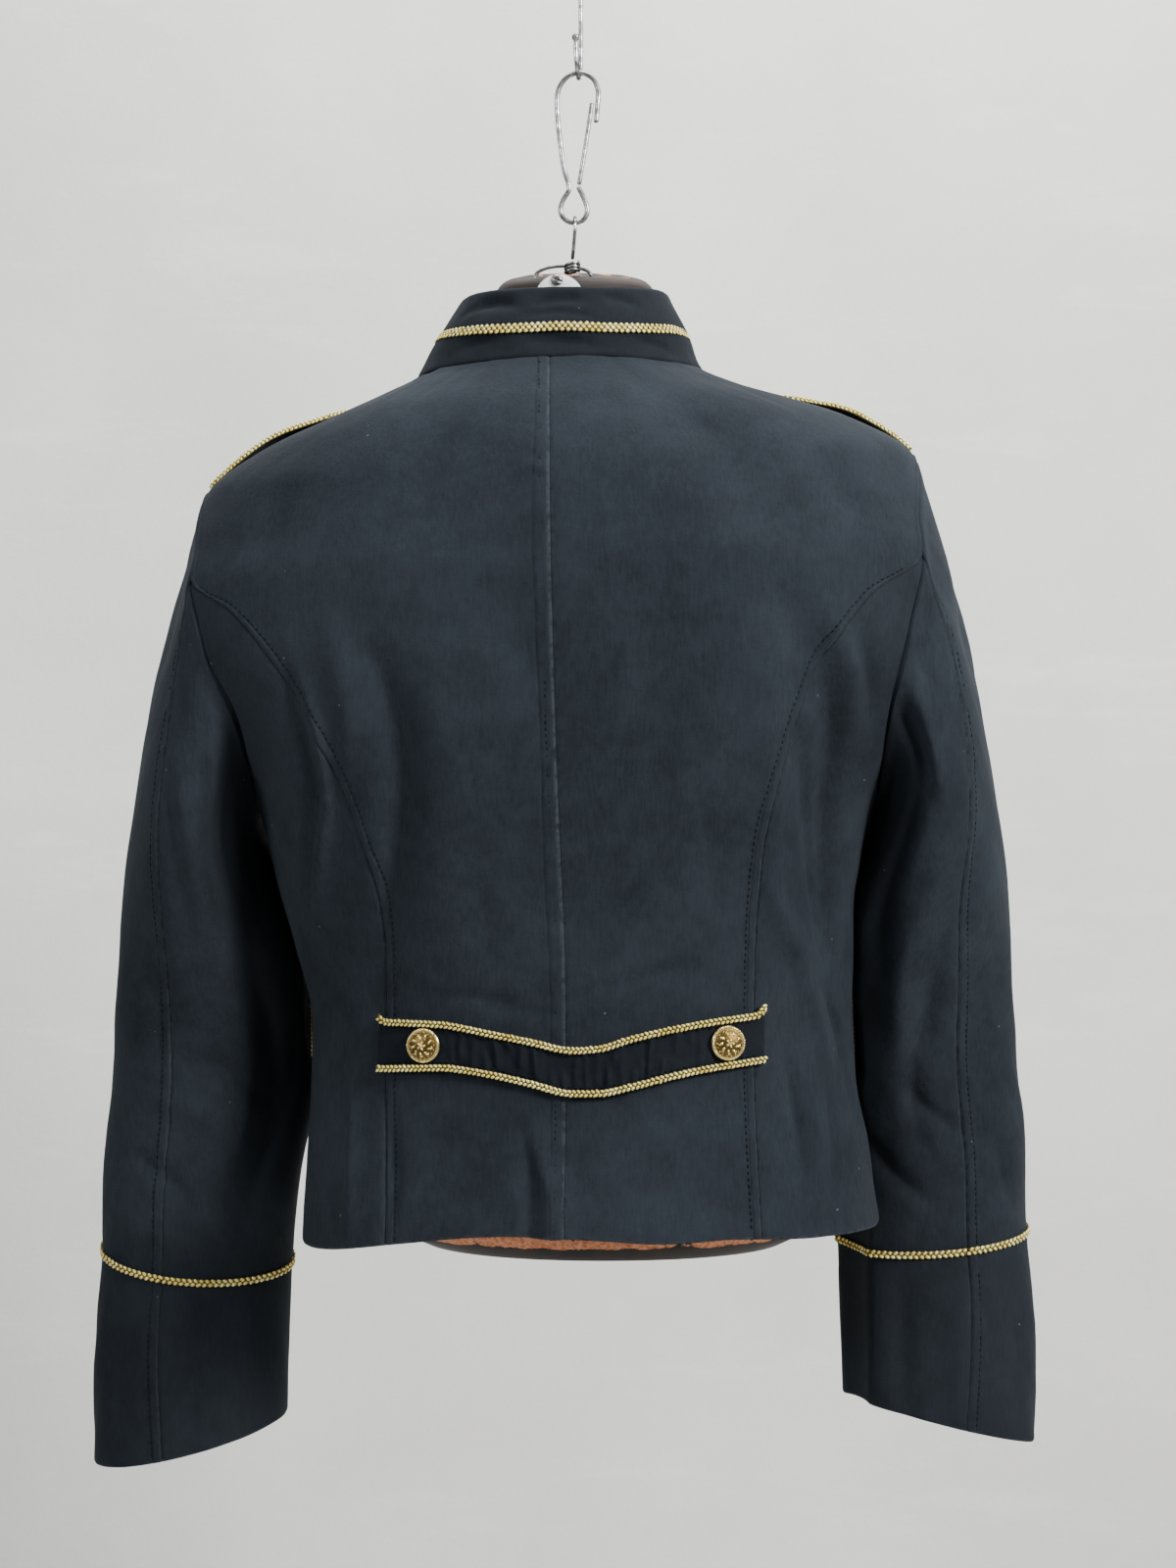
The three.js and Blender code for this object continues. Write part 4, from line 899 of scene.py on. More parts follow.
def plait(points, normals, width, lift, lanes, seed):
    """A flat plait of gold cord along a path: its band and its slanted strands."""
    luck = np.random.default_rng(seed)
    lane_width = width / lanes
    pitch = PLAIT["pitch"] * (PLAIT["coarse"] if width > BRAID["narrow"] else 1.0)
    place, forward, sideways, out = along_path(points, normals, pitch)
    parts = [strip(points, normals, width * 0.86, lift, lift + BRAID["thick"] * 0.2)]
    count = len(place)
    sway = noise_field(np.arange(count) / 9.0, np.zeros(count) + 0.5, seed)[:, None] * PLAIT["waver"]
    for lane in range(lanes):
        turn = math.radians(PLAIT["slant"]) * (1 if lane % 2 == 0 else -1)
        jitter = luck.normal(0, 1, (count, 3))
        angle = (turn + 0.15 * jitter[:, 0])[:, None]
        along = forward * np.cos(angle) + sideways * np.sin(angle)
        across = np.cross(out, along)
        shift = (lane - (lanes - 1) / 2) * lane_width
        half_step = pitch * (0.5 if lane % 2 else 0.0)
        origin = place + sideways * (shift + sway) + forward * half_step
        origin = origin + out * (lift + BRAID["thick"] * 0.5 + 0.07 * jitter[:, 1:2])
        sizes = np.stack([
            lane_width * 0.7 * (1 + 0.1 * jitter[:, 2]),
            np.full(count, pitch * PLAIT["strand"] * (1.12 if lanes > 2 else 1.0)),
            np.full(count, BRAID["thick"] * 0.72),
        ], axis=-1)
        parts.append(raised_copies(BALL, origin, np.stack([along, across, out], axis=1), sizes))
    return parts


def add_plait(name, points, normals, width, lift, lanes, seed):
    parts = plait(points, normals, width, lift, lanes, seed)
    dress(gap_marked_mesh(name, parts, BRAID_GOLD), "gold_braid", name)


STITCH = {"pitch": 3.9, "length": 2.6, "radius": 0.52}


def stitches(points, normals, seed):
    """A row of machine stitches along a path, each sunk a little in the cloth."""
    luck = np.random.default_rng(seed)
    place, forward, sideways, out = along_path(points, normals, STITCH["pitch"])
    count = len(place)
    jitter = luck.normal(0, 1, (count, 2))
    along = unit(forward + sideways * 0.05 * jitter[:, :1])
    across = np.cross(out, along)
    sizes = np.tile([STITCH["length"] / 2, STITCH["radius"], STITCH["radius"] * 0.8], (count, 1))
    place = place + out * 0.12 + sideways * 0.08 * jitter[:, 1:]
    return copies(BALL, place, np.stack([along, across, out], axis=1), sizes)


def add_stitch_rows(name, rows):
    """Rows of stitches as one piece of thread."""
    vertices, faces = joined(rows)
    dress(make_mesh(name, vertices, faces, THREAD), "navy_cotton")


def body_line(degrees, level, out):
    """Points of a line on the body, on the creased cloth's face, with outward directions."""
    relief = body_relief(degrees, level) + out
    return cloth_point(degrees, level, relief), base_normal(degrees, level)


# The collar stands in one ring with a gap in front.
COLLAR = {"rise_left": 5.0, "rise_right": 8.5, "top": 219.0, "foot": 262.7, "gap": 6.0, "braid": 245.2,
          "braid_rise": 6.5}
COLLAR_SCALE = 1.25
COLLAR_CREASES = table(LINE_NAMES, [
    (-48, -22, 228, 231, 4.0, -1.6),
    (-14, 12, 230, 228, 3.5, -1.3),
    (-18, 14, 237, 238, 2.6, -0.8),
    (-14, 14, 252, 256, 3.2, -1.5),
    (20, 42, 226, 232, 3.5, -0.9),
    (-60, -38, 233, 228, 3.5, -0.8),
    (34, 52, 252, 256, 3.0, -0.8),
    (-48, -26, 254, 251, 3.0, -0.8),
    (90, 130, 226, 236, 4.0, -0.9),
    (-88, -130, 236, 228, 4.0, -0.9),
])


def collar_rise(degrees, level):
    """The collar stands a little higher at the sides of the neck, most on the right."""
    share = (COLLAR["foot"] - level) / (COLLAR["foot"] - COLLAR["top"])
    most = np.where(degrees > 0, COLLAR["rise_right"], COLLAR["rise_left"])
    return share * most * np.sin(np.radians(degrees)) ** 2


def collar_relief(degrees, level):
    u = degrees * COLLAR_SCALE
    soft = 0.4 * noise_field(u / 22, level / 15, 41) + 0.24 * noise_field(u / 8, level / 8, 42)
    return soft + crease_depth(degrees, level, COLLAR_CREASES, COLLAR_SCALE)


def add_collar():
    end = 180 - COLLAR["gap"]
    top = COLLAR["top"]
    near = np.array([0, 0.4, 0.9, 1.6, 2.4, 3.4])
    levels = close_ends(top, COLLAR["foot"], near, np.linspace(224, 258.5, 20))
    degrees = close_ends(-end, end, near / COLLAR_SCALE, np.linspace(-end + 4, end - 4, 150))
    level, turn = np.meshgrid(levels, degrees, indexing="ij")
    relief = collar_relief(turn, level)
    edge = 0.2 * window(level, top + 0.5, top + 2, top + 4, top + 6) - 0.75 * rolled(level - top, 0.8)
    side = COLLAR_SCALE * (end - np.abs(turn))
    edge -= 0.7 * rolled(COLLAR["foot"] - level, 0.9) + 0.75 * rolled(side, 0.8)
    inner = cloth_point(turn, level, relief * 0.7)
    outer = cloth_point(turn, level, CLOTH + relief + edge)
    for face in (inner, outer):
        face[..., 2] += collar_rise(turn, level)
    uv = np.stack([turn * COLLAR_SCALE, level], axis=-1) * 0.01
    # The whole collar is darkened evenly by the cloth's darkening attribute.
    add_shell("collar", inner, outer, COTTON, uv, None, np.full(turn.shape, 0.66))
    degrees = np.linspace(-end + 0.5, end - 0.5, 240)
    rise = COLLAR["braid_rise"] * np.sin(np.radians(np.clip(np.abs(degrees), 0, 90))) ** 2
    level = COLLAR["braid"] - rise + 0.5 * noise_field(degrees / 20, np.zeros_like(degrees), 44)
    points = cloth_point(degrees, level, CLOTH + 0.3 + collar_relief(degrees, level) * 0.6)
    add_plait("collar_braid", points, base_normal(degrees, level), BRAID["width"], BRAID["lift"],
              PLAIT["wide_lanes"], 45)


# The gathered tab across the back, between two edges given at sideways places.
TAB = {"left": -124.0, "right": 103.5, "thick": 1.6, "lift": 0.5, "gather": 0.9, "from": -86.0, "to": 73.0}
TAB_EDGES = table("level top bottom", [
    (-124, 657, 688),
    (-88, 658.5, 688),
    (-58, 664, 692),
    (-36, 668.5, 697),
    (-8, 674.5, 704),
    (6, 673.5, 704),
    (26, 667.5, 700),
    (56, 661, 693),
    (103.5, 654, 685.5),
])


def back_point(x, level, out):
    degrees = angle_at(x, level)
    return cloth_point(degrees, level, out + body_relief(degrees, level)), base_normal(degrees, level)


def gather_relief(x, share):
    """Uneven gathers from the tab's upper seam to its lower one."""
    luck = np.random.default_rng(61)
    places = np.cumsum(luck.uniform(4.2, 8.2, 25))
    places = TAB["from"] + places / places[-1] * (TAB["to"] - TAB["from"] - 3)
    height = np.zeros_like(x)
    for place in places:
        lean = luck.uniform(-3.5, 3.5)
        sway = luck.uniform(-1.4, 1.4)
        width = luck.uniform(1.5, 2.7)
        tall = luck.uniform(1.0, 2.5)
        first = luck.uniform(-0.35, 0.12)
        last = luck.uniform(0.8, 1.3)
        if luck.uniform() < 0.35:
            if luck.uniform() < 0.5:
                last = luck.uniform(0.45, 0.7)
            else:
                first = luck.uniform(0.3, 0.5)
        line = place + lean * (share - 0.5) + sway * np.sin(np.pi * share)
        reach = window(share, first, first + 0.28, last - 0.28, last)
        height += tall * reach * np.exp(-np.abs((x - line) / width) ** 1.8)
    inside = window(x, TAB["from"] - 6, TAB["from"] + 6, TAB["to"] - 6, TAB["to"] + 6)
    height = (height - 0.5) * inside
    crumple = 0.3 * noise_field(x / 7, share * 4.5, 62) + 0.14 * noise_field(x / 2.6, share * 9, 63)
    return height + crumple


def add_tab():
    left = TAB["left"]
    right = TAB["right"]
    shares = np.concatenate([[0, 0.012, 0.03, 0.06], np.linspace(0.1, 0.9, 30), [0.94, 0.97, 0.988, 1]])
    x = close_ends(left, right, [0, 0.4, 1.0], np.linspace(left + 2, right - 2, 300))
    share, place = np.meshgrid(shares, x, indexing="ij")
    top = read(TAB_EDGES, place, "top")
    level = top + share * (read(TAB_EDGES, place, "bottom") - top)
    relief = gather_relief(place, share) * (0.3 + 0.7 * window(share, 0.02, 0.2, 0.8, 0.98)) + 0.2
    edge = -0.7 * rolled(np.minimum(place - left, right - place), 0.9)
    edge -= 0.6 * rolled(share, 0.03) + 0.6 * rolled(1 - share, 0.03)
    base = CLOTH + TAB["lift"]
    face = base + TAB["thick"]
    inner, _ = back_point(place, level, base)
    outer, _ = back_point(place, level, face + relief + edge)
    add_shell("back_tab", inner, outer, TAB_COTTON, np.stack([place, level], axis=-1) * 0.01)
    x = np.linspace(left, right, 160)
    rows = []
    for name, inset in (("top", BRAID["narrow"] / 2), ("bottom", -BRAID["narrow"] / 2)):
        edge = read(TAB_EDGES, x, name)
        level = edge + inset + 0.35 * noise_field(x / 13, np.zeros_like(x) + 0.5, 66)
        if name == "top":
            level -= 3.0 * bump(x, left, 2.4) + 4.6 * bump(x, right, 2.6)
        points, normals = back_point(x, level, face + TAB["gather"])
        add_plait(f"tab_braid_{name}", points, normals, BRAID["narrow"], BRAID["lift"],
                  PLAIT["narrow_lanes"], 67)
        level = edge + inset * 2 + (1.2 if inset > 0 else -1.2)
        points, normals = back_point(x[3:-3], level[3:-3], face + 0.45)
        rows.append(stitches(points, normals, 68))
    add_stitch_rows("tab_stitches", rows)


# A button: a dished disc with a rope rim and a plain ornament of leaves and beads.
BUTTON_PROFILE = np.array([
    (0.0, 0.0), (0.86, 0.0), (0.97, 0.05), (1.0, 0.14), (0.985, 0.24), (0.93, 0.34), (0.87, 0.39),
    (0.815, 0.36), (0.78, 0.37), (0.72, 0.45), (0.6, 0.56), (0.45, 0.66), (0.28, 0.73), (0.12, 0.76),
    (0.0, 0.77),
])
BUTTON = {"segments": 56, "rope": 40, "leaves": 9, "beads": 18}
TAB_BUTTON = {"left": -96.0, "right": 81.5, "level": 673.0, "radius": 10.5, "height": 6.2}
FRONT_BUTTONS = {"count": 7, "from": 345.0, "to": 755.0, "radius": 9.5, "height": 5.6, "lift": 2.15}
BUTTON_GAP = 0.5


def button_form(radius, height, seed):
    """A button about its own middle, with z outward from the cloth."""
    turn = 2 * np.pi * np.arange(BUTTON["segments"]) / BUTTON["segments"]
    ring = np.stack([np.cos(turn), np.sin(turn)], axis=-1)
    rows = BUTTON_PROFILE[1:-1]
    count = BUTTON["segments"]
    vertices = np.concatenate([
        np.concatenate([ring * r * radius, np.full((count, 1), z * height)], axis=1) for r, z in rows])
    faces = []
    for i in range(len(rows) - 1):
        for j in range(count):
            k = (j + 1) % count
            faces.append((i * count + j, i * count + k, (i + 1) * count + k, (i + 1) * count + j))
    ends = np.array([[0, 0, 0], [0, 0, BUTTON_PROFILE[-1, 1] * height]])
    foot = len(vertices)
    last = (len(rows) - 1) * count
    for j in range(0, count, 2):
        k = (j + 1) % count
        m = (j + 2) % count
        faces.append((foot, m, k, j))
        faces.append((foot + 1, last + j, last + k, last + m))
    vertices = np.concatenate([vertices, ends])
    rim = smoothstep(np.hypot(vertices[:, 0], vertices[:, 1]), 0.78 * radius, 0.86 * radius)
    parts = [(vertices, np.array(faces), -0.35 + 1.1 * rim)]
    luck = np.random.default_rng(seed)

    def around(count, radius_share, height_share, sizes, lean, swing=0.0):
        angle = 2 * np.pi * (np.arange(count) + luck.uniform(0, 1)) / count + luck.normal(0, 0.02, count)
        out = np.stack([np.cos(angle), np.sin(angle), np.zeros(count)], axis=-1)
        side = np.stack([-np.sin(angle), np.cos(angle), np.zeros(count)], axis=-1)
        up = np.tile([0.0, 0.0, 1.0], (count, 1))
        along = out * math.cos(lean) + side * math.sin(lean)
        across = np.cross(up, along)
        origin = out * radius_share * radius + side * swing * radius + up * height_share * height
        frames = np.stack([along, across, up], axis=1)
        parts.append(raised_copies(BALL, origin, frames, np.tile(np.array(sizes) * radius, (count, 1))))

    around(BUTTON["rope"], 0.91, 0.36, (0.09, 0.04, 0.05), 0.9)
    around(BUTTON["leaves"], 0.5, 0.62, (0.19, 0.07, 0.07), 0.35)
    around(BUTTON["leaves"], 0.6, 0.57, (0.1, 0.045, 0.06), -0.8, 0.12)
    around(BUTTON["beads"], 0.72, 0.47, (0.035, 0.035, 0.04), 0.0)
    around(5, 0.16, 0.78, (0.12, 0.07, 0.07), 0.25)
    boss = np.array([[0.08, 0.08, 0.09]]) * radius
    parts.append(raised_copies(BALL, np.array([[0, 0, 0.8 * height]]), np.eye(3)[None], boss))
    return parts


def add_button(name, degrees, level, lift, radius, height, seed):
    parts = button_form(radius, height, seed)
    degrees = np.array([degrees])
    level = np.array([level])
    origin = cloth_point(degrees, level, lift)[0]
    out = base_normal(degrees, level)[0]
    side = unit(np.cross(out, [0.0, 0.13, 1.0]))
    up = np.cross(side, out)
    turn = np.stack([side, -up, out])
    parts = [(vertices @ turn + origin, faces, raised) for vertices, faces, raised in parts]
    dress(gap_marked_mesh(name, parts, GOLD), "gold_metal", name)


# Shoulder straps: along the shoulder by level, across it in millimetres, + is towards the front.
STRAP = {"from": 283, "to": 333, "back": -3, "front": 37, "thick": 1.6, "lift": 0.45, "arch": 3.4}
STRAP_BUTTON = {"share": 0.13, "radius": 7.5, "height": 4.6}
STRAP_BRAID = {"inset": 0.95, "end": 0.035, "steps": 40, "turned": 1.1}


def strap_point(side, share, across, out):
    """A point over the shoulder, its outward direction, and its degrees and level."""
    level = STRAP["from"] + (STRAP["to"] - STRAP["from"]) * share
    row = section(level)
    behind = across < 0
    depth = np.where(behind, row["back"], row["front"])
    turn = np.degrees(np.arccos((np.abs(across) / depth) ** (row["power"] / 2)))
    degrees = side * np.where(behind, turn, 180 - turn)
    arch = STRAP["arch"] * np.sin(np.pi * np.clip(share, 0, 1)) ** 2
    point = cloth_point(degrees, level, CLOTH + STRAP["lift"] + arch + out)
    return point, base_normal(degrees, level), degrees, level


def strap_across(share, place):
    middle = (STRAP["back"] + STRAP["front"]) / 2
    half = (STRAP["front"] - STRAP["back"]) / 2 * np.minimum(1, 0.45 + 3.4 * share)
    return middle + place * half


def add_strap(arm):
    side = arm["side"]
    name = arm["name"]
    shares = np.concatenate([[0, 0.01, 0.025], np.linspace(0.05, 0.97, 34), [0.985, 1]])
    places = np.concatenate([[-1, -0.975, -0.94], np.linspace(-0.9, 0.9, 19), [0.94, 0.975, 1]])
    share, place = np.meshgrid(shares, places, indexing="ij")
    across = strap_across(share, place)
    seed = 71 if side < 0 else 72
    relief = 0.25 * noise_field(share * 6, place * 2.2 + 9, seed)
    relief += 0.12 * noise_field(share * 15, place * 6 + 9, seed)
    relief -= 0.7 * rolled(1 - np.abs(place), 0.05) + 0.7 * rolled(share, 0.018)
    inner, *_ = strap_point(side, share, across, 0.0)
    outer, *_ = strap_point(side, share, across, STRAP["thick"] + relief)
    uv = np.stack([share * 50, across], axis=-1) * 0.01
    add_shell(f"epaulette_{name}", inner, outer, COTTON, uv)
    inset = STRAP_BRAID["inset"]
    end = STRAP_BRAID["end"]
    steps = STRAP_BRAID["steps"]
    down = np.linspace(1, end, steps)
    over = np.linspace(-inset, inset, 16)[1:-1]
    share = np.concatenate([down, np.full(len(over), end), down[::-1]])
    place = np.concatenate([np.full(steps, -inset), over, np.full(steps, inset)])
    points, normals, *_ = strap_point(side, share, strap_across(share, place), 0.0)
    normals = unit(normals + place[:, None] * np.array([0.0, STRAP_BRAID["turned"], 0.0]))
    lift = STRAP["thick"] + BRAID["lift"]
    add_plait(f"epaulette_braid_{name}", points, normals, BRAID["narrow"], lift, PLAIT["narrow_lanes"],
              seed + 5)
    spot = STRAP_BUTTON["share"]
    *_, degrees, level = strap_point(side, np.array(spot), strap_across(np.array(spot), 0.1), 0.0)
    rise = CLOTH + STRAP["lift"] + STRAP["arch"] * math.sin(math.pi * spot) ** 2 + STRAP["thick"] + 0.6
    add_button(f"epaulette_button_{name}", float(degrees), float(level), rise, STRAP_BUTTON["radius"],
               STRAP_BUTTON["height"], seed)


def add_flap(arm):
    side = arm["side"]
    name = arm["name"]
    start = FLAP["from"]
    end = FLAP["to"]
    top = FLAP["top"]
    bottom = FLAP["bottom"]
    degrees = close_ends(start, end, [0, 0.15, 0.4], np.linspace(start + 1, end - 1, 60))
    levels = close_ends(top, bottom, [0, 0.5, 1.1], np.linspace(top + 3, bottom - 3, 14))
    level, turn = np.meshgrid(levels, degrees, indexing="ij")
    base = CLOTH + FLAP["lift"]
    relief = 0.3 * noise_field(turn / 6 + 30, level / 14, 81)
    relief -= 0.7 * rolled(np.minimum(level - top, bottom - level), 0.8) + 0.7 * rolled(turn - start, 0.3)
    body = body_relief(side * turn, level)
    inner = cloth_point(side * turn, level, base + body)
    outer = cloth_point(side * turn, level, base + FLAP["thick"] + relief + body)
    uv = np.stack([turn * BODY_SCALE, level], axis=-1) * 0.01
    add_shell(f"flap_{name}", inner, outer, COTTON, uv)
    edge = start + 1.2
    degrees = side * np.concatenate([np.full(14, edge), np.linspace(edge, end, 60)])
    level = np.concatenate([np.linspace(top, bottom - 8, 14), np.full(60, bottom - BRAID["narrow"] / 2)])
    points = cloth_point(degrees, level, base + FLAP["thick"] + body_relief(degrees, level))
    add_plait(f"flap_braid_{name}", points, base_normal(degrees, level), BRAID["narrow"], BRAID["lift"],
              PLAIT["narrow_lanes"], 83)


# The dress form: neck, shoulders, body and foot, in rows of one closed skin.
FORM = {"seat": 0.7, "inset": 5.0, "front_share": 2.0, "shoulder_end": 318.0, "arm_half": 204.0,
        "hollow": 9.0, "columns": 112}
FORM_NECK = table("level half back front side fore power shift tilt", [
    (202, 31, 8, 27, -202, -202, 2, -8, 0),
    (206, 44, 20, 38, -206, -206, 2, -8, 0),
    (214, 50, 44, 44, -214, -214, 2, -8, 0),
    (240, 52, 46, 46, -240, -246, 2, -10, 0),
    (262, 64, 51, 46, -262, -316, 2, -14, 1),
])
FORM_LEVELS = [275, 285, 298, 312, 335, 363, 400, 440, 480, 520, 560, 600, 640, 680, 720, 750]
FORM_FOOT = table("level half back front side fore power shift tilt", [
    (775, 150, 90, 92, -775, -775, 2.3, 8, 0),
    (794, 132, 86, 88, -794, -794, 2.2, 9, 0),
    (804, 112, 78, 80, -804, -804, 2.1, 10, 0),
])
FORM_CROWN = (-8.0, 0.0, -200.5)
FORM_BASE = (10.0, 0.0, -808.0)


def form_body_point(degrees, level):
    if level <= FORM["shoulder_end"]:
        facing = np.cos(np.radians(degrees))
        inset = FORM["inset"] * np.where(facing < 0, -FORM["front_share"] * facing, facing)
        return cloth_point(degrees, np.full_like(degrees, level), -FORM["seat"] - inset)
    row = section(level)
    inset = FORM["inset"] + 1 + FORM["hollow"] * bump(level, 560, 190) ** 0.5
    row["half"] = min(row["half"] - inset, FORM["arm_half"])
    row["back"] = row["back"] - inset
    row["front"] = row["front"] - inset
    return oval(row, degrees)


def between(rings, steps):
    """Rows between given rings, on smooth curves through them."""
    rings = extended(rings)
    rows = []
    for i in range(1, len(rings) - 2):
        near = rings[i - 1:i + 3]
        gaps = np.sqrt(np.linalg.norm(np.diff(near, axis=0), axis=-1, keepdims=True))
        rows += [curve_between(*near, *gaps, n / steps) for n in range(steps)]
    rows.append(rings[-2])
    return rows


def add_form():
    count = FORM["columns"]
    degrees = -180 + 360 * np.arange(count) / count

    def rings_of(rows):
        picked = [{key: values[k] for key, values in rows.items()} for k in range(len(rows["level"]))]
        return [oval(row, degrees) for row in picked]

    neck = rings_of(FORM_NECK)
    body = [form_body_point(degrees, level) for level in FORM_LEVELS]
    rows = between(neck, 5) + between(body + rings_of(FORM_FOOT), 3)
    crown = np.array(FORM_CROWN)
    base = np.array(FORM_BASE)
    caps = [crown + (rows[0] - crown) * w + np.array([0, 0, 0.6 * (1 - w)]) for w in (0.35, 0.7)]
    feet = [base + (rows[-1] - base) * w for w in (0.75, 0.4)]
    rows = caps + rows + feet
    vertices = np.concatenate([*rows, crown[None], base[None]])
    faces = ring_faces(len(rows), count, True)
    dress(make_mesh("dress_form", vertices, faces, FORM_PAINT), "form_paint", "dress_form")


# Hardware on one hanging line. Wires are round tubes along smooth paths.
HANG = np.array([-7.0, -28.0, 0.0])
WIRE = {"hook": 1.3, "snap": 1.5, "gate": 1.3, "bail": 1.1, "sides": 20}


def smooth_path(points, steps=9):
    """A smooth path through points given from the hanging line."""
    return np.concatenate(between([np.array([p]) for p in np.array(points, float) + HANG], steps))


def tube(path, radius):
    """A closed round tube along a path, with its ends drawn in."""
    forward = unit(np.gradient(path, axis=0))
    side = np.cross(forward[0], [0.31, 0.93, 0.2])
    sides = []
    for direction in forward:
        side = side - direction * np.dot(side, direction)
        side = side / np.linalg.norm(side)
        sides.append(side)
    sides = np.stack(sides)
    up = np.cross(forward, sides)
    count = WIRE["sides"]
    turn = 2 * np.pi * np.arange(count) / count
    ring = np.cos(turn)[None, :, None] * sides[:, None] + np.sin(turn)[None, :, None] * up[:, None]
    body = path[:, None] + ring * radius
    first = path[:1, None] - forward[:1, None] * radius * 0.3 + ring[:1] * radius * 0.7
    last = path[-1:, None] + forward[-1:, None] * radius * 0.3 + ring[-1:] * radius * 0.7
    rows = np.concatenate([first, body, last])
    ends = np.stack([path[0] - forward[0] * radius * 0.42, path[-1] + forward[-1] * radius * 0.42])
    return np.concatenate([rows.reshape(-1, 3), ends]), ring_faces(len(rows), count, True)


def add_wire(name, path, radius):
    vertices, faces = tube(path, radius)
    dress(make_mesh(name, vertices, faces, STEEL), "steel", name)


HOOK = {"curl": 9.5, "bottom": -88.5, "tip": -69, "shank": 2.5, "drift": 0.45, "ball": 2.3}
SNAP = {"top": -85.3, "eye": -175.9, "y": -9.5}
SWIVEL = {"top": -173.9, "foot": -196.6}
BAIL = {"left": -26, "right": 9, "crown": -201.5, "left_foot": -209.3, "right_foot": -207.3}
COIL = {"radius": 4.1, "wire": 1.0, "height": 6.0, "x": -2.7, "turns": 3}
PLATE = {"x": -17.5, "radius": 15.0, "middle": -225.6, "foot": -233, "inside": -46.2, "thick": 1.8}
SCREW = {"x": -19, "z": -214, "radius": 3.5, "height": 1.6, "slot": 0.75, "sides": 48}
SCREW_PROFILE = [(1.0, 0.0), (1.0, 0.25), (0.92, 0.6), (0.74, 0.85), (0.5, 0.97), (0.3, 1.0)]


def add_hook():
    shank = HOOK["shank"]
    curl = HOOK["curl"]
    centre = HOOK["bottom"] + curl
    points = [(shank, 0, 0), (shank, 0, -30), (shank, 0, centre + 4)]
    for k in range(7):
        turn = math.pi * k / 6
        y = -curl * (1 - math.cos(turn))
        points.append((shank - k * HOOK["drift"], y, centre - curl * math.sin(turn)))
    tip = (shank - 3, -2 * curl, HOOK["tip"])
    add_wire("j_hook", smooth_path(points + [tip]), WIRE["hook"])
    radius = HOOK["ball"]
    ball = np.array([tip]) + [0, 0, radius + 0.3] + HANG
    vertices, faces = copies(ball_template(8), ball, np.eye(3)[None], np.full((1, 3), radius))
    dress(make_mesh("j_hook_ball", vertices, faces, STEEL), "steel", "j_hook_ball")


def add_snap():
    y = SNAP["y"]
    top = SNAP["top"]
    eye = SNAP["eye"]
    loop = [
        (11.9, top - 30), (12.8, top - 20), (13.2, top - 11), (9.8, top - 3.5), (2.4, top), (-5.5, top - 2.6),
        (-10.9, top - 10), (-11.8, top - 22), (-9.8, top - 44), (-7.4, top - 60), (-4.6, top - 71),
        (-8.6, eye + 12), (-9.8, eye + 6), (-7.2, eye + 1), (-1.8, eye - 1), (4.4, eye + 1), (6.6, eye + 6),
        (5.2, eye + 12), (1.2, top - 70),
    ]
    gate = [(9.3, top - 19), (7.6, top - 31), (4.6, top - 50), (1.6, top - 68)]
    add_wire("snap_hook", smooth_path([(x, y, z) for x, z in loop]), WIRE["snap"])
    add_wire("snap_gate", smooth_path([(x, y, z) for x, z in gate]), WIRE["gate"])
    top = SWIVEL["top"]
    link = [
        (-1, y + 4.2, top - 7), (-1, y + 3.4, top - 2), (-1, y, top), (-1, y - 3.6, top - 2.6),
        (-1, y - 4.2, top - 8), (-1.5, y - 2, top - 15), (-2, y, top - 20), (-2.5, 0, SWIVEL["foot"]),
    ]
    add_wire("swivel_link", smooth_path(link), WIRE["bail"])


def add_bail():
    points = []
    middle = (BAIL["left"] + BAIL["right"]) / 2
    half = (BAIL["right"] - BAIL["left"]) / 2
    for k in range(9):
        turn = math.pi * k / 8
        foot = BAIL["left_foot"] + (BAIL["right_foot"] - BAIL["left_foot"]) * k / 8
        points.append((middle - half * math.cos(turn), 0, foot + (BAIL["crown"] - foot) * math.sin(turn)))
    add_wire("neck_bail", smooth_path(points), WIRE["bail"])
    turn = np.linspace(0, 2 * math.pi * COIL["turns"], COIL["turns"] * 18)
    path = np.stack([
        COIL["x"] + COIL["radius"] * np.cos(turn), COIL["radius"] * np.sin(turn),
        BAIL["crown"] - 1 + COIL["height"] * (0.5 - turn / turn[-1]) + 1.1 * np.cos(turn + 0.6),
    ], axis=-1) + HANG
    add_wire("bail_coil", path, COIL["wire"])


def add_plate():
    """The half-round plate with a softened rim."""
    radius = PLATE["radius"]
    turn = np.linspace(0, math.pi, 49)
    foot = PLATE["foot"] - PLATE["middle"]
    side = np.linspace(0, foot, 7)[1:]
    outline = np.concatenate([
        np.stack([np.cos(turn), np.sin(turn)], axis=-1) * radius,
        np.stack([np.full(6, -radius), side], axis=-1),
        np.stack([np.linspace(-radius, radius, 18)[1:-1], np.full(16, foot)], axis=-1),
        np.stack([np.full(6, radius), side[::-1]], axis=-1),
    ])
    middle = np.array([0, 0.2 * radius])
    back = PLATE["inside"]
    front = back - PLATE["thick"]
    rows = [(0.98, back), (1.0, back - 0.25), (1.0, front + 0.35), (0.975, front), (0.5, front - 0.02)]
    vertices = []
    for share, y in rows:
        x, z = (middle + (outline - middle) * share).T
        vertices.append(np.stack([x + PLATE["x"], np.full(len(x), y), z + PLATE["middle"]], axis=-1))
    hub = middle + [PLATE["x"], PLATE["middle"]]
    vertices.append(np.array([[hub[0], y, hub[1]] for y in (back, front - 0.02)]))
    faces = ring_faces(len(rows), len(outline))
    dress(make_mesh("neck_plate", np.concatenate(vertices), faces, ENAMEL), "white_plate", "neck_plate")


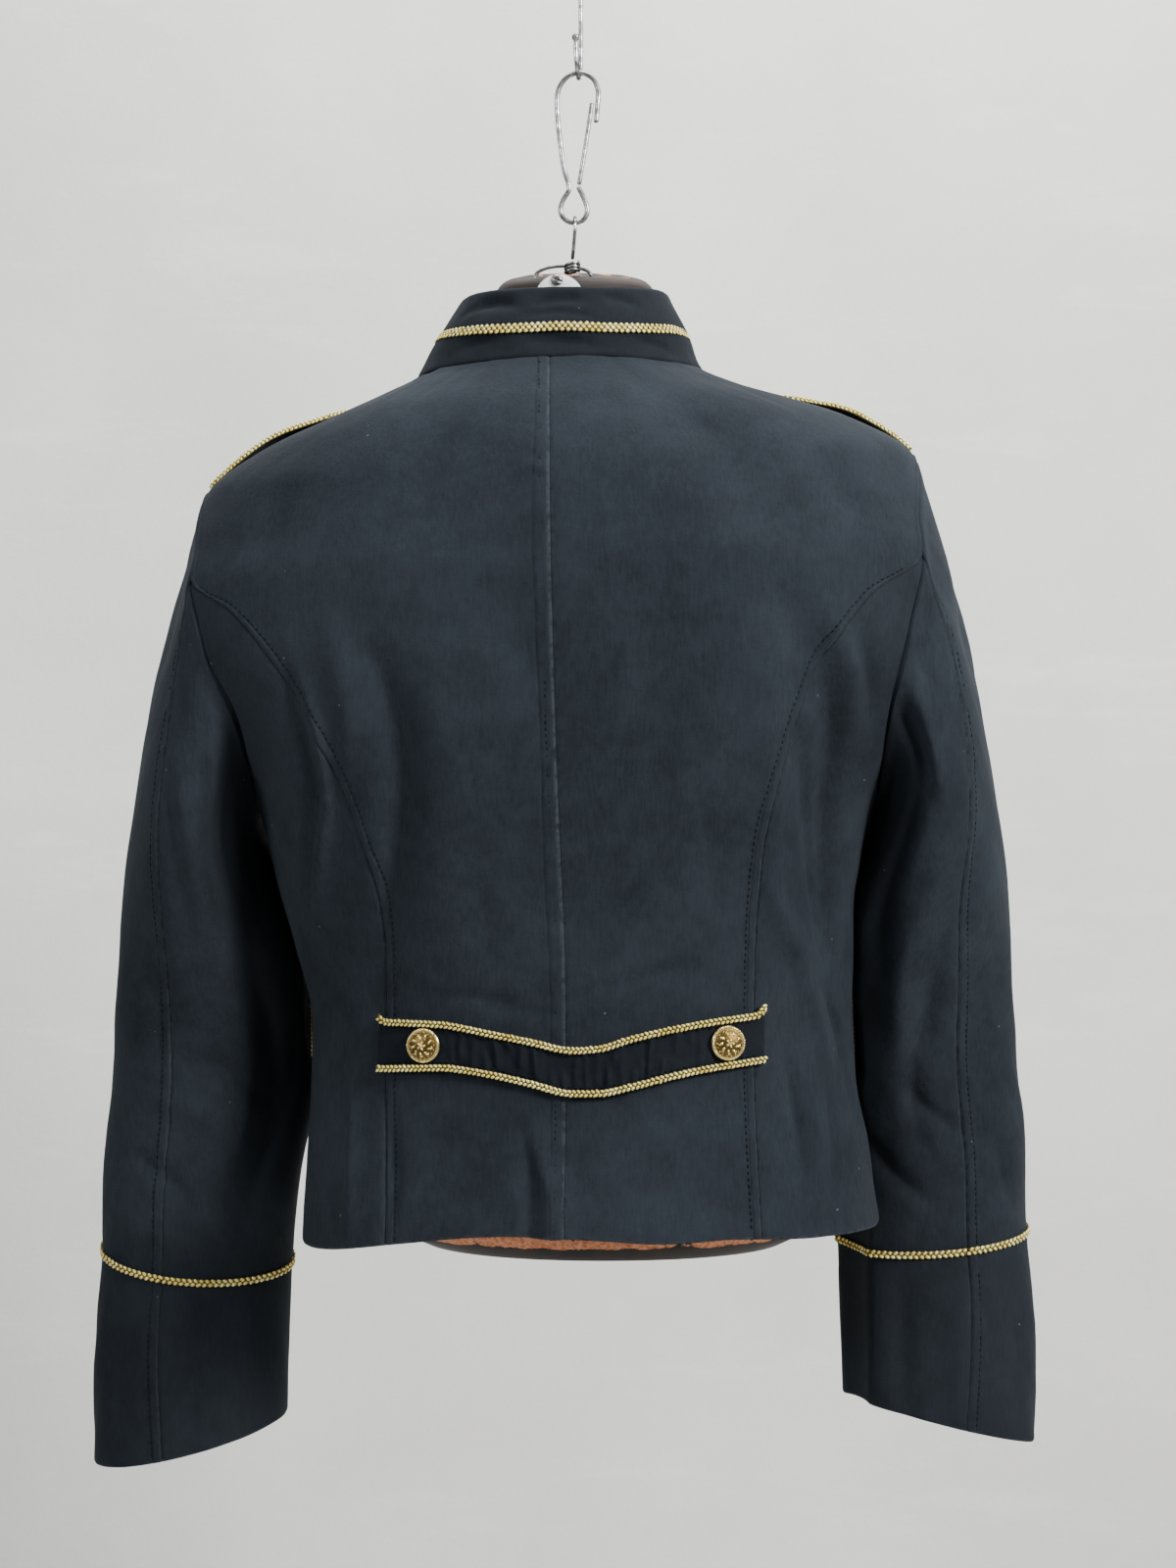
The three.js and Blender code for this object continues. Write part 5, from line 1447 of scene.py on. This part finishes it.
def add_screw():
    turn = 2 * math.pi * np.arange(SCREW["sides"]) / SCREW["sides"]
    seat = PLATE["inside"] - PLATE["thick"] - 0.3
    vertices = []
    for r, h in SCREW_PROFILE:
        x = SCREW["radius"] * r * np.cos(turn)
        z = SCREW["radius"] * r * np.sin(turn)
        slot = SCREW["slot"] * (1 - smoothstep(np.abs(0.42 * x + 0.91 * z), 0.35, 0.55)) * (h > 0.5)
        y = seat - SCREW["height"] * h + slot
        vertices.append(np.stack([SCREW["x"] + x, y, SCREW["z"] + z], axis=-1))
    middles = [[SCREW["x"], y, SCREW["z"]] for y in (seat, seat - SCREW["height"] + SCREW["slot"])]
    faces = ring_faces(len(SCREW_PROFILE), SCREW["sides"])
    vertices = np.concatenate([*vertices, np.array(middles)])
    dress(make_mesh("plate_screw", vertices, faces, STEEL), "steel", "plate_screw")


def mix_node(tree, share, first, second):
    made = tree.nodes.new("ShaderNodeMix")
    made.data_type = "RGBA"
    for at, value in ((0, share), (6, first), (7, second)):
        put(tree, made.inputs[at], value)
    return made.outputs[2]


def put(tree, socket, value):
    if isinstance(value, bpy.types.NodeSocket):
        tree.links.new(value, socket)
    elif isinstance(value, tuple) and len(value) == 3 and socket.type == "RGBA":
        socket.default_value = (*value, 1.0)
    else:
        socket.default_value = value


def add_node(tree, kind, inputs=None, **settings):
    made = tree.nodes.new(kind)
    for key, value in settings.items():
        setattr(made, key, value)
    for key, value in (inputs or {}).items():
        put(tree, made.inputs[key], value)
    return made


def noise(tree, vector, scale, detail=3.0, roughness=0.55):
    inputs = {"Vector": vector, "Scale": scale, "Detail": detail, "Roughness": roughness}
    return add_node(tree, "ShaderNodeTexNoise", inputs).outputs["Fac"]


def remap(tree, value, low, high, to_low=0.0, to_high=1.0):
    inputs = {"Value": value, "From Min": low, "From Max": high, "To Min": to_low, "To Max": to_high}
    return add_node(tree, "ShaderNodeMapRange", inputs, interpolation_type="SMOOTHSTEP").outputs["Result"]


def math_node(tree, operation, first, second):
    return add_node(tree, "ShaderNodeMath", {0: first, 1: second}, operation=operation).outputs[0]


def times(tree, first, second):
    return math_node(tree, "MULTIPLY", first, second)


def vertex_value(tree, name):
    return add_node(tree, "ShaderNodeAttribute", attribute_name=name).outputs["Fac"]


def mapped(tree, vector, **settings):
    return add_node(tree, "ShaderNodeMapping", {"Vector": vector, **settings}).outputs["Vector"]


def bump_node(tree, height, strength, distance, normal=None):
    made = add_node(tree, "ShaderNodeBump", {"Height": height, "Strength": strength, "Distance": distance})
    if normal is not None:
        tree.links.new(normal, made.inputs["Normal"])
    return made.outputs["Normal"]


def start_material(name, **constants):
    """A material, its node tree, its shader with constant inputs, and the place on the object."""
    made = bpy.data.materials.new(name)
    made.use_nodes = True
    tree = made.node_tree
    shader = tree.nodes["Principled BSDF"]
    for key, value in constants.items():
        put(tree, shader.inputs[key.replace("_", " ")], value)
    place = add_node(tree, "ShaderNodeTexCoord").outputs["Object"]
    return made, tree, shader, place


def finish_material(tree, shader, colour, roughness, normal):
    for key, value in (("Base Color", colour), ("Roughness", roughness), ("Normal", normal)):
        put(tree, shader.inputs[key], value)


def cotton(name, dark, light, seam):
    """Brushed cotton twill: mottled dye, a fine diagonal weave, specks of lint, paler pressed seams and
    painted shade.
    """
    made, tree, shader, place = start_material(
        name, Sheen_Weight=0.03, Sheen_Roughness=0.5, Sheen_Tint=(0.5, 0.62, 0.72), Specular_IOR_Level=0.1)
    broad = remap(tree, noise(tree, place, 7.0, 4.0, 0.6), 0.32, 0.68)
    mottle = remap(tree, noise(tree, place, 60.0, 5.0, 0.65), 0.3, 0.72)
    warp = mapped(tree, place, Scale=(1.0, 1.0, 0.16))
    slub = remap(tree, noise(tree, warp, 620.0, 3.0, 0.7), 0.3, 0.7)
    dye = times(tree, broad, 0.4)
    for shade, share in ((mottle, 0.3), (slub, 0.27)):
        dye = math_node(tree, "ADD", dye, times(tree, shade, share))
    colour = mix_node(tree, dye, dark, light)
    patchy = remap(tree, noise(tree, place, 240.0, 3.0, 0.6), 0.35, 0.6)
    colour = mix_node(tree, times(tree, vertex_value(tree, "worn"), patchy), colour, seam)
    # Painted shade: a vertex attribute draws the colour towards a third of the dark dye by the sleeves; on
    # the collar it darkens all evenly.
    deep = tuple(0.3 * part for part in dark)
    colour = mix_node(tree, times(tree, vertex_value(tree, "dark_tone_and_painted_shade"), 0.78), colour, deep)
    cells = add_node(tree, "ShaderNodeTexVoronoi", {"Vector": place, "Scale": 64.0, "Randomness": 1.0})
    speck = remap(tree, cells.outputs["Distance"], 0.028, 0.05, 1.0, 0.0)
    luck = add_node(tree, "ShaderNodeSeparateColor", {"Color": cells.outputs["Color"]}).outputs[0]
    lint = times(tree, speck, times(tree, remap(tree, luck, 0.78, 0.8), 0.45))
    colour = mix_node(tree, lint, colour, (0.16, 0.18, 0.19))
    weave_place = add_node(tree, "ShaderNodeUVMap", uv_map="cloth").outputs["UV"]
    weave_inputs = {"Vector": weave_place, "Scale": 42.0, "Distortion": 1.2, "Detail": 1.0,
                    "Detail Scale": 3.0}
    weave = add_node(tree, "ShaderNodeTexWave", weave_inputs, wave_type="BANDS", bands_direction="DIAGONAL")
    fibre = noise(tree, place, 900.0, 2.0, 0.6)
    nap = noise(tree, place, 190.0, 4.0, 0.7)
    normal = bump_node(tree, weave.outputs["Fac"], 0.12, 0.0003)
    normal = bump_node(tree, fibre, 0.35, 0.0004, normal)
    normal = bump_node(tree, nap, 0.35, 0.0011, normal)
    finish_material(tree, shader, colour, remap(tree, mottle, 0.0, 1.0, 0.82, 0.93), normal)
    return made


def gold_braid():
    """Metal thread, tarnished in patches, and darkened in the gaps between strands by tarnish and painted
    shade.
    """
    made, tree, shader, place = start_material("gold_braid", Metallic=0.4, Specular_IOR_Level=0.3)
    tarnish = remap(tree, noise(tree, place, 90.0, 4.0, 0.6), 0.35, 0.68)
    threads = noise(tree, place, 1600.0, 2.0, 0.7)
    colour = mix_node(tree, tarnish, (0.74, 0.59, 0.15), (1.0, 0.9, 0.36))
    # The gaps between strands are drawn towards near black: partly tarnish, partly painted shade.
    raised = remap(tree, vertex_value(tree, "raised"), -0.1, 0.65, 0.16, 1.0)
    clean_and_lit = times(tree, remap(tree, threads, 0.3, 0.62, 0.6, 1.0), raised)
    colour = mix_node(tree, clean_and_lit, (0.05, 0.034, 0.008), colour)
    rough = remap(tree, tarnish, 0.0, 1.0, 0.52, 0.36)
    finish_material(tree, shader, colour, rough, bump_node(tree, threads, 0.5, 0.0003))
    return made


def bare_metal(name, dark, light, rough, wear_scale, raised_forms=False):
    """Worn metal. Raised forms are dark between them, and plain wire has a painted dark reflection where it
    turns away.
    """
    made, tree, shader, place = start_material(name, Metallic=1.0)
    wear = remap(tree, noise(tree, place, wear_scale, 4.0, 0.6), 0.36, 0.66)
    if raised_forms:
        raised = remap(tree, vertex_value(tree, "raised"), -0.42, 0.5)
        wear = times(tree, remap(tree, wear, 0.0, 1.0, 0.6, 1.0), raised)
    colour = mix_node(tree, wear, dark, light)
    if not raised_forms:
        # Painted reflection: plain metal is drawn towards near black where its faces turn away from the
        # camera.
        turned = add_node(tree, "ShaderNodeLayerWeight", {"Blend": 0.5}).outputs["Facing"]
        colour = mix_node(tree, remap(tree, turned, 0.28, 0.62), colour, (0.03, 0.029, 0.028))
    normal = bump_node(tree, noise(tree, place, wear_scale * 5, 3.0), 0.15, 0.0003)
    finish_material(tree, shader, colour, remap(tree, wear, 0.0, 1.0, *rough), normal)
    return made


def enamel():
    made, tree, shader, place = start_material("white_enamel", Coat_Weight=0.25, Coat_Roughness=0.2)
    stain = remap(tree, noise(tree, place, 160.0, 4.0, 0.6), 0.45, 0.75)
    colour = mix_node(tree, stain, (0.68, 0.69, 0.68), (0.42, 0.40, 0.36))
    normal = bump_node(tree, noise(tree, place, 420.0, 2.0), 0.1, 0.0004)
    finish_material(tree, shader, colour, remap(tree, stain, 0.0, 1.0, 0.32, 0.55), normal)
    return made


def form_paint():
    """Dark paint on a plaster form, chipped to a salmon ground at the neck's rim and by the foot."""
    made, tree, shader, place = start_material("form_paint", Specular_IOR_Level=0.2)
    z = add_node(tree, "ShaderNodeSeparateXYZ", {"Vector": place}).outputs["Z"]
    patches = noise(tree, place, 75.0, 5.0, 0.62)
    fine = noise(tree, place, 420.0, 3.0, 0.6)
    rim = times(tree, remap(tree, z, -0.2085, -0.2045), remap(tree, z, -0.2005, -0.2025))
    foot = times(tree, remap(tree, z, -0.7775, -0.7815), remap(tree, z, -0.7985, -0.7945))
    worn = math_node(tree, "ADD", times(tree, rim, 0.24), times(tree, foot, 0.42))
    chip = remap(tree, math_node(tree, "ADD", patches, worn), 0.78, 0.82)
    ground = mix_node(tree, remap(tree, fine, 0.35, 0.65), (0.42, 0.13, 0.05), (0.62, 0.29, 0.17))
    cloud = remap(tree, noise(tree, place, 24.0, 4.0), 0.35, 0.65)
    paint = mix_node(tree, cloud, (0.0065, 0.004, 0.0032), (0.018, 0.0105, 0.0078))
    depth = math_node(tree, "SUBTRACT", times(tree, fine, 0.25), chip)
    colour = mix_node(tree, chip, paint, ground)
    normal = bump_node(tree, depth, 0.6, 0.0006)
    finish_material(tree, shader, colour, remap(tree, chip, 0.0, 1.0, 0.58, 0.85), normal)
    return made


# Cloth colours: the dark and the light of the dye, and its pressed seams.
COTTON = cotton("navy_cotton", (0.0066, 0.0092, 0.0130), (0.0226, 0.0288, 0.0368), (0.036, 0.043, 0.051))
TAB_COTTON = cotton("navy_cotton_tab", (0.0034, 0.0046, 0.0068), (0.0098, 0.0126, 0.0170),
                    (0.018, 0.021, 0.026))
# The thread is darker than the cloth: painted shade, so the sunken stitches read as dark dashes.
THREAD = cotton("navy_thread", (0.0025, 0.0035, 0.005), (0.006, 0.008, 0.011), (0.01, 0.012, 0.015))
BRAID_GOLD = gold_braid()
GOLD = bare_metal("gold_metal", (0.13, 0.08, 0.02), (1.0, 0.82, 0.36), (0.45, 0.24), 260.0, True)
STEEL = bare_metal("steel", (0.16, 0.158, 0.155), (0.5, 0.5, 0.51), (0.42, 0.25), 180.0)
ENAMEL = enamel()
FORM_PAINT = form_paint()
# The right front laps over the left: how far past the middle, over how many degrees it rises, how high.
FRONT_LAP = {"past": 6, "ramp": 14, "lift": 0.55}


def middle_degrees(level):
    return angle_at(read(SEAMS, level, "middle"), level)


def front_lift(degrees):
    """How far the lapping front stands out near its edge."""
    start = 180 - FRONT_LAP["past"] - FRONT_LAP["ramp"]
    return (CLOTH + FRONT_LAP["lift"]) * smoothstep(degrees, start, start + FRONT_LAP["ramp"])


def seam_stitches(level, seam, towards, seed):
    """Stitches beside a seam, at a distance towards one side of it."""
    step = np.linalg.norm(base_point(seam + 0.5, level) - base_point(seam - 0.5, level), axis=-1)
    degrees = seam + towards * SEAM["stitch"] / step
    points, normals = body_line(degrees, level, CLOTH)
    return stitches(points, normals, seed)


def add_body(arm):
    """The four panels of one half of the body, each between two seams."""
    side = arm["side"]
    name = arm["name"]
    edge = edge_degrees(SIDE_LEVELS)
    tip = np.minimum(princess_degrees(SIDE_LEVELS, side, False), edge - ARMHOLE["tip"])
    fore_tip = np.maximum(princess_degrees(SIDE_LEVELS, side, True), 180 - edge + ARMHOLE["tip"])
    princess = side * princess_degrees(FULL_LEVELS, side, False)
    fore_princess = side * princess_degrees(FULL_LEVELS, side, True)
    closing = np.full_like(FULL_LEVELS, side * (180.0 + FRONT_LAP["past"]))
    plain = ("plain", "plain")
    add_panel(f"back_{name}", FULL_LEVELS, middle_degrees(FULL_LEVELS), princess,
              ("stitched" if side < 0 else "plain", "stitched"), 5)
    add_panel(f"side_back_{name}", SIDE_LEVELS, side * tip, side * edge, plain, 6)
    add_panel(f"side_front_{name}", SIDE_LEVELS, side * (180 - edge), side * fore_tip, plain, 7, None,
              FRONT_SPACING)
    add_panel(f"front_{name}", FULL_LEVELS, closing, fore_princess, ("plain", "stitched"), 8,
              front_lift if side > 0 else None, FRONT_SPACING)


def add_body_stitches():
    rows = []
    level = np.linspace(NECK_LEVEL + 3, HEM_LEVEL - 3, 240)
    rows.append(seam_stitches(level, middle_degrees(level), -1, 91))
    for arm in SIDES:
        side = arm["side"]
        level = np.linspace(PRINCESS_LEVEL + 6, HEM_LEVEL - 3, 220)
        rows.append(seam_stitches(level, side * princess_degrees(level, side, False), -side, 92))
    add_stitch_rows("body_stitches", rows)


def add_arm(arm):
    """A two-piece sleeve, its cuff in two pieces, their stitches and the braid on the cuff's joint."""
    name = arm["name"]
    for part, places in (("sleeve", SLEEVE_PLACES), ("cuff", CUFF_PLACES)):
        add_sleeve_piece(f"{part}_top_{name}", arm, places, TOP_COLUMNS, ("plain", "stitched"))
        add_sleeve_piece(f"{part}_under_{name}", arm, places, UNDER_COLUMNS, ("plain", "plain"))
    add_sleeve_stitches(arm)
    seam = ARMHOLE["seam"]
    columns = np.linspace(seam + 0.02, seam + COLUMNS - 0.02, 300)[None]
    place = np.array([float(CUFF_RING)])
    points = sleeve_points(columns, place, arm)[0]
    normals = sleeve_normals(columns, place, arm)[0]
    add_plait(f"cuff_braid_{name}", points + normals * CLOTH, normals, BRAID["cuff"], BRAID["lift"],
              PLAIT["narrow_lanes"], 95 + arm["side"])


def add_jacket_buttons():
    """Two buttons on the tab, and a row down the front."""
    lift = CLOTH + TAB["lift"] + TAB["thick"] + BUTTON_GAP
    level = TAB_BUTTON["level"]
    for side in ("left", "right"):
        degrees = float(angle_at(TAB_BUTTON[side], np.array(level)))
        add_button(f"tab_button_{side}", degrees, level, lift, TAB_BUTTON["radius"], TAB_BUTTON["height"],
                   101)
    lift = CLOTH + FRONT_BUTTONS["lift"] + BUTTON_GAP
    for n in range(FRONT_BUTTONS["count"]):
        share = n / (FRONT_BUTTONS["count"] - 1)
        level = FRONT_BUTTONS["from"] + (FRONT_BUTTONS["to"] - FRONT_BUTTONS["from"]) * share
        add_button(f"front_button_{n + 1}", 180.0, level, lift, FRONT_BUTTONS["radius"],
                   FRONT_BUTTONS["height"], 110 + n)


for arm in SIDES:
    add_body(arm)
    add_arm(arm)
    add_strap(arm)
    add_flap(arm)
add_collar()
add_tab()
add_body_stitches()
add_form()
add_hook()
add_snap()
add_bail()
add_plate()
add_screw()
add_jacket_buttons()


def stage_material():
    """Streaked plaster, clear to a camera that looks at it from behind."""
    made, tree, shader, place = start_material("plaster_backdrop")
    cloud = remap(tree, noise(tree, place, 1.7, 5.0, 0.6), 0.3, 0.7)
    colour = mix_node(tree, cloud, (0.65, 0.648, 0.625), (0.765, 0.763, 0.738))
    swept = mapped(tree, place, Rotation=(0.0, 0.75, 0.0), Scale=(1.0, 1.0, 4.5))
    streak = remap(tree, noise(tree, swept, 3.2, 6.0, 0.72), 0.52, 0.7)
    colour = mix_node(tree, times(tree, streak, 0.35), colour, (0.86, 0.86, 0.84))
    grain = math_node(tree, "ADD", noise(tree, place, 45.0, 4.0), noise(tree, place, 190.0, 3.0, 0.7))
    finish_material(tree, shader, colour, 0.95, bump_node(tree, grain, 0.16, 0.002))
    put(tree, shader.inputs["Specular IOR Level"], 0.2)
    behind = add_node(tree, "ShaderNodeNewGeometry").outputs["Backfacing"]
    seen = add_node(tree, "ShaderNodeLightPath").outputs["Is Camera Ray"]
    clear = add_node(tree, "ShaderNodeBsdfTransparent").outputs["BSDF"]
    inputs = {0: times(tree, behind, seen), 1: shader.outputs["BSDF"], 2: clear}
    shown = add_node(tree, "ShaderNodeMixShader", inputs).outputs["Shader"]
    end = [node for node in tree.nodes if node.type == "OUTPUT_MATERIAL"][0]
    put(tree, end.inputs["Surface"], shown)
    return made


STAGE = {"floor": -1.9, "wall": 0.85, "reach": 6.0, "top": 3.0}


def add_stage():
    floor = STAGE["floor"]
    wall = STAGE["wall"]
    reach = STAGE["reach"]
    corners = [(-reach, -reach, floor), (reach, -reach, floor), (reach, wall, floor), (-reach, wall, floor),
               (reach, wall, STAGE["top"]), (-reach, wall, STAGE["top"])]
    mesh = bpy.data.meshes.new("backdrop")
    mesh.from_pydata(corners, [], [(0, 1, 2, 3), (3, 2, 4, 5)])
    mesh.materials.append(stage_material())
    new_object("backdrop", mesh)


def add_light(name, place, target, size, energy, colour=(1.0, 1.0, 1.0)):
    light = bpy.data.lights.new(name, "AREA")
    light.size = size
    light.energy = energy
    light.color = colour
    holder = new_object(name, light)
    holder.location = place
    holder.rotation_euler = (Vector(target) - Vector(place)).to_track_quat("-Z", "Y").to_euler()


# The camera in metres: its place, and the height of the frame at a distance from it.
CAMERA = {"y": -1.6, "z": -0.52, "sensor": 36.0, "distance": 1.5, "frame": 0.92}


def add_camera():
    camera = bpy.data.cameras.new("camera")
    camera.sensor_fit = "VERTICAL"
    camera.sensor_height = CAMERA["sensor"]
    camera.lens = CAMERA["sensor"] * CAMERA["distance"] / CAMERA["frame"]
    holder = new_object("camera", camera)
    holder.location = (SHIFT[0] * MM, CAMERA["y"] + SHIFT[1] * MM, CAMERA["z"])
    holder.rotation_euler = (math.pi / 2, 0, 0)
    bpy.context.scene.camera = holder


add_stage()
add_light("key", (1.75, -1.4, 0.5), (0, 0, -0.5), 0.6, 112.0, (1.0, 0.99, 0.975))
add_light("left", (-1.8, -1.5, 0.3), (0, 0, -0.55), 0.7, 36.0, (0.97, 0.985, 1.0))
add_light("top", (0.1, -0.7, 1.1), (0, 0, -0.3), 0.5, 9.0, (1.0, 1.0, 1.0))
add_light("wall", (0.2, 0.3, 1.3), (0.1, 0.85, -0.6), 1.6, 62.0)
world = bpy.data.worlds.new("studio")
world.use_nodes = True
sky = world.node_tree.nodes["Background"]
sky.inputs["Color"].default_value = (0.86, 0.9, 0.95, 1.0)
sky.inputs["Strength"].default_value = 0.11
bpy.context.scene.world = world
add_camera()
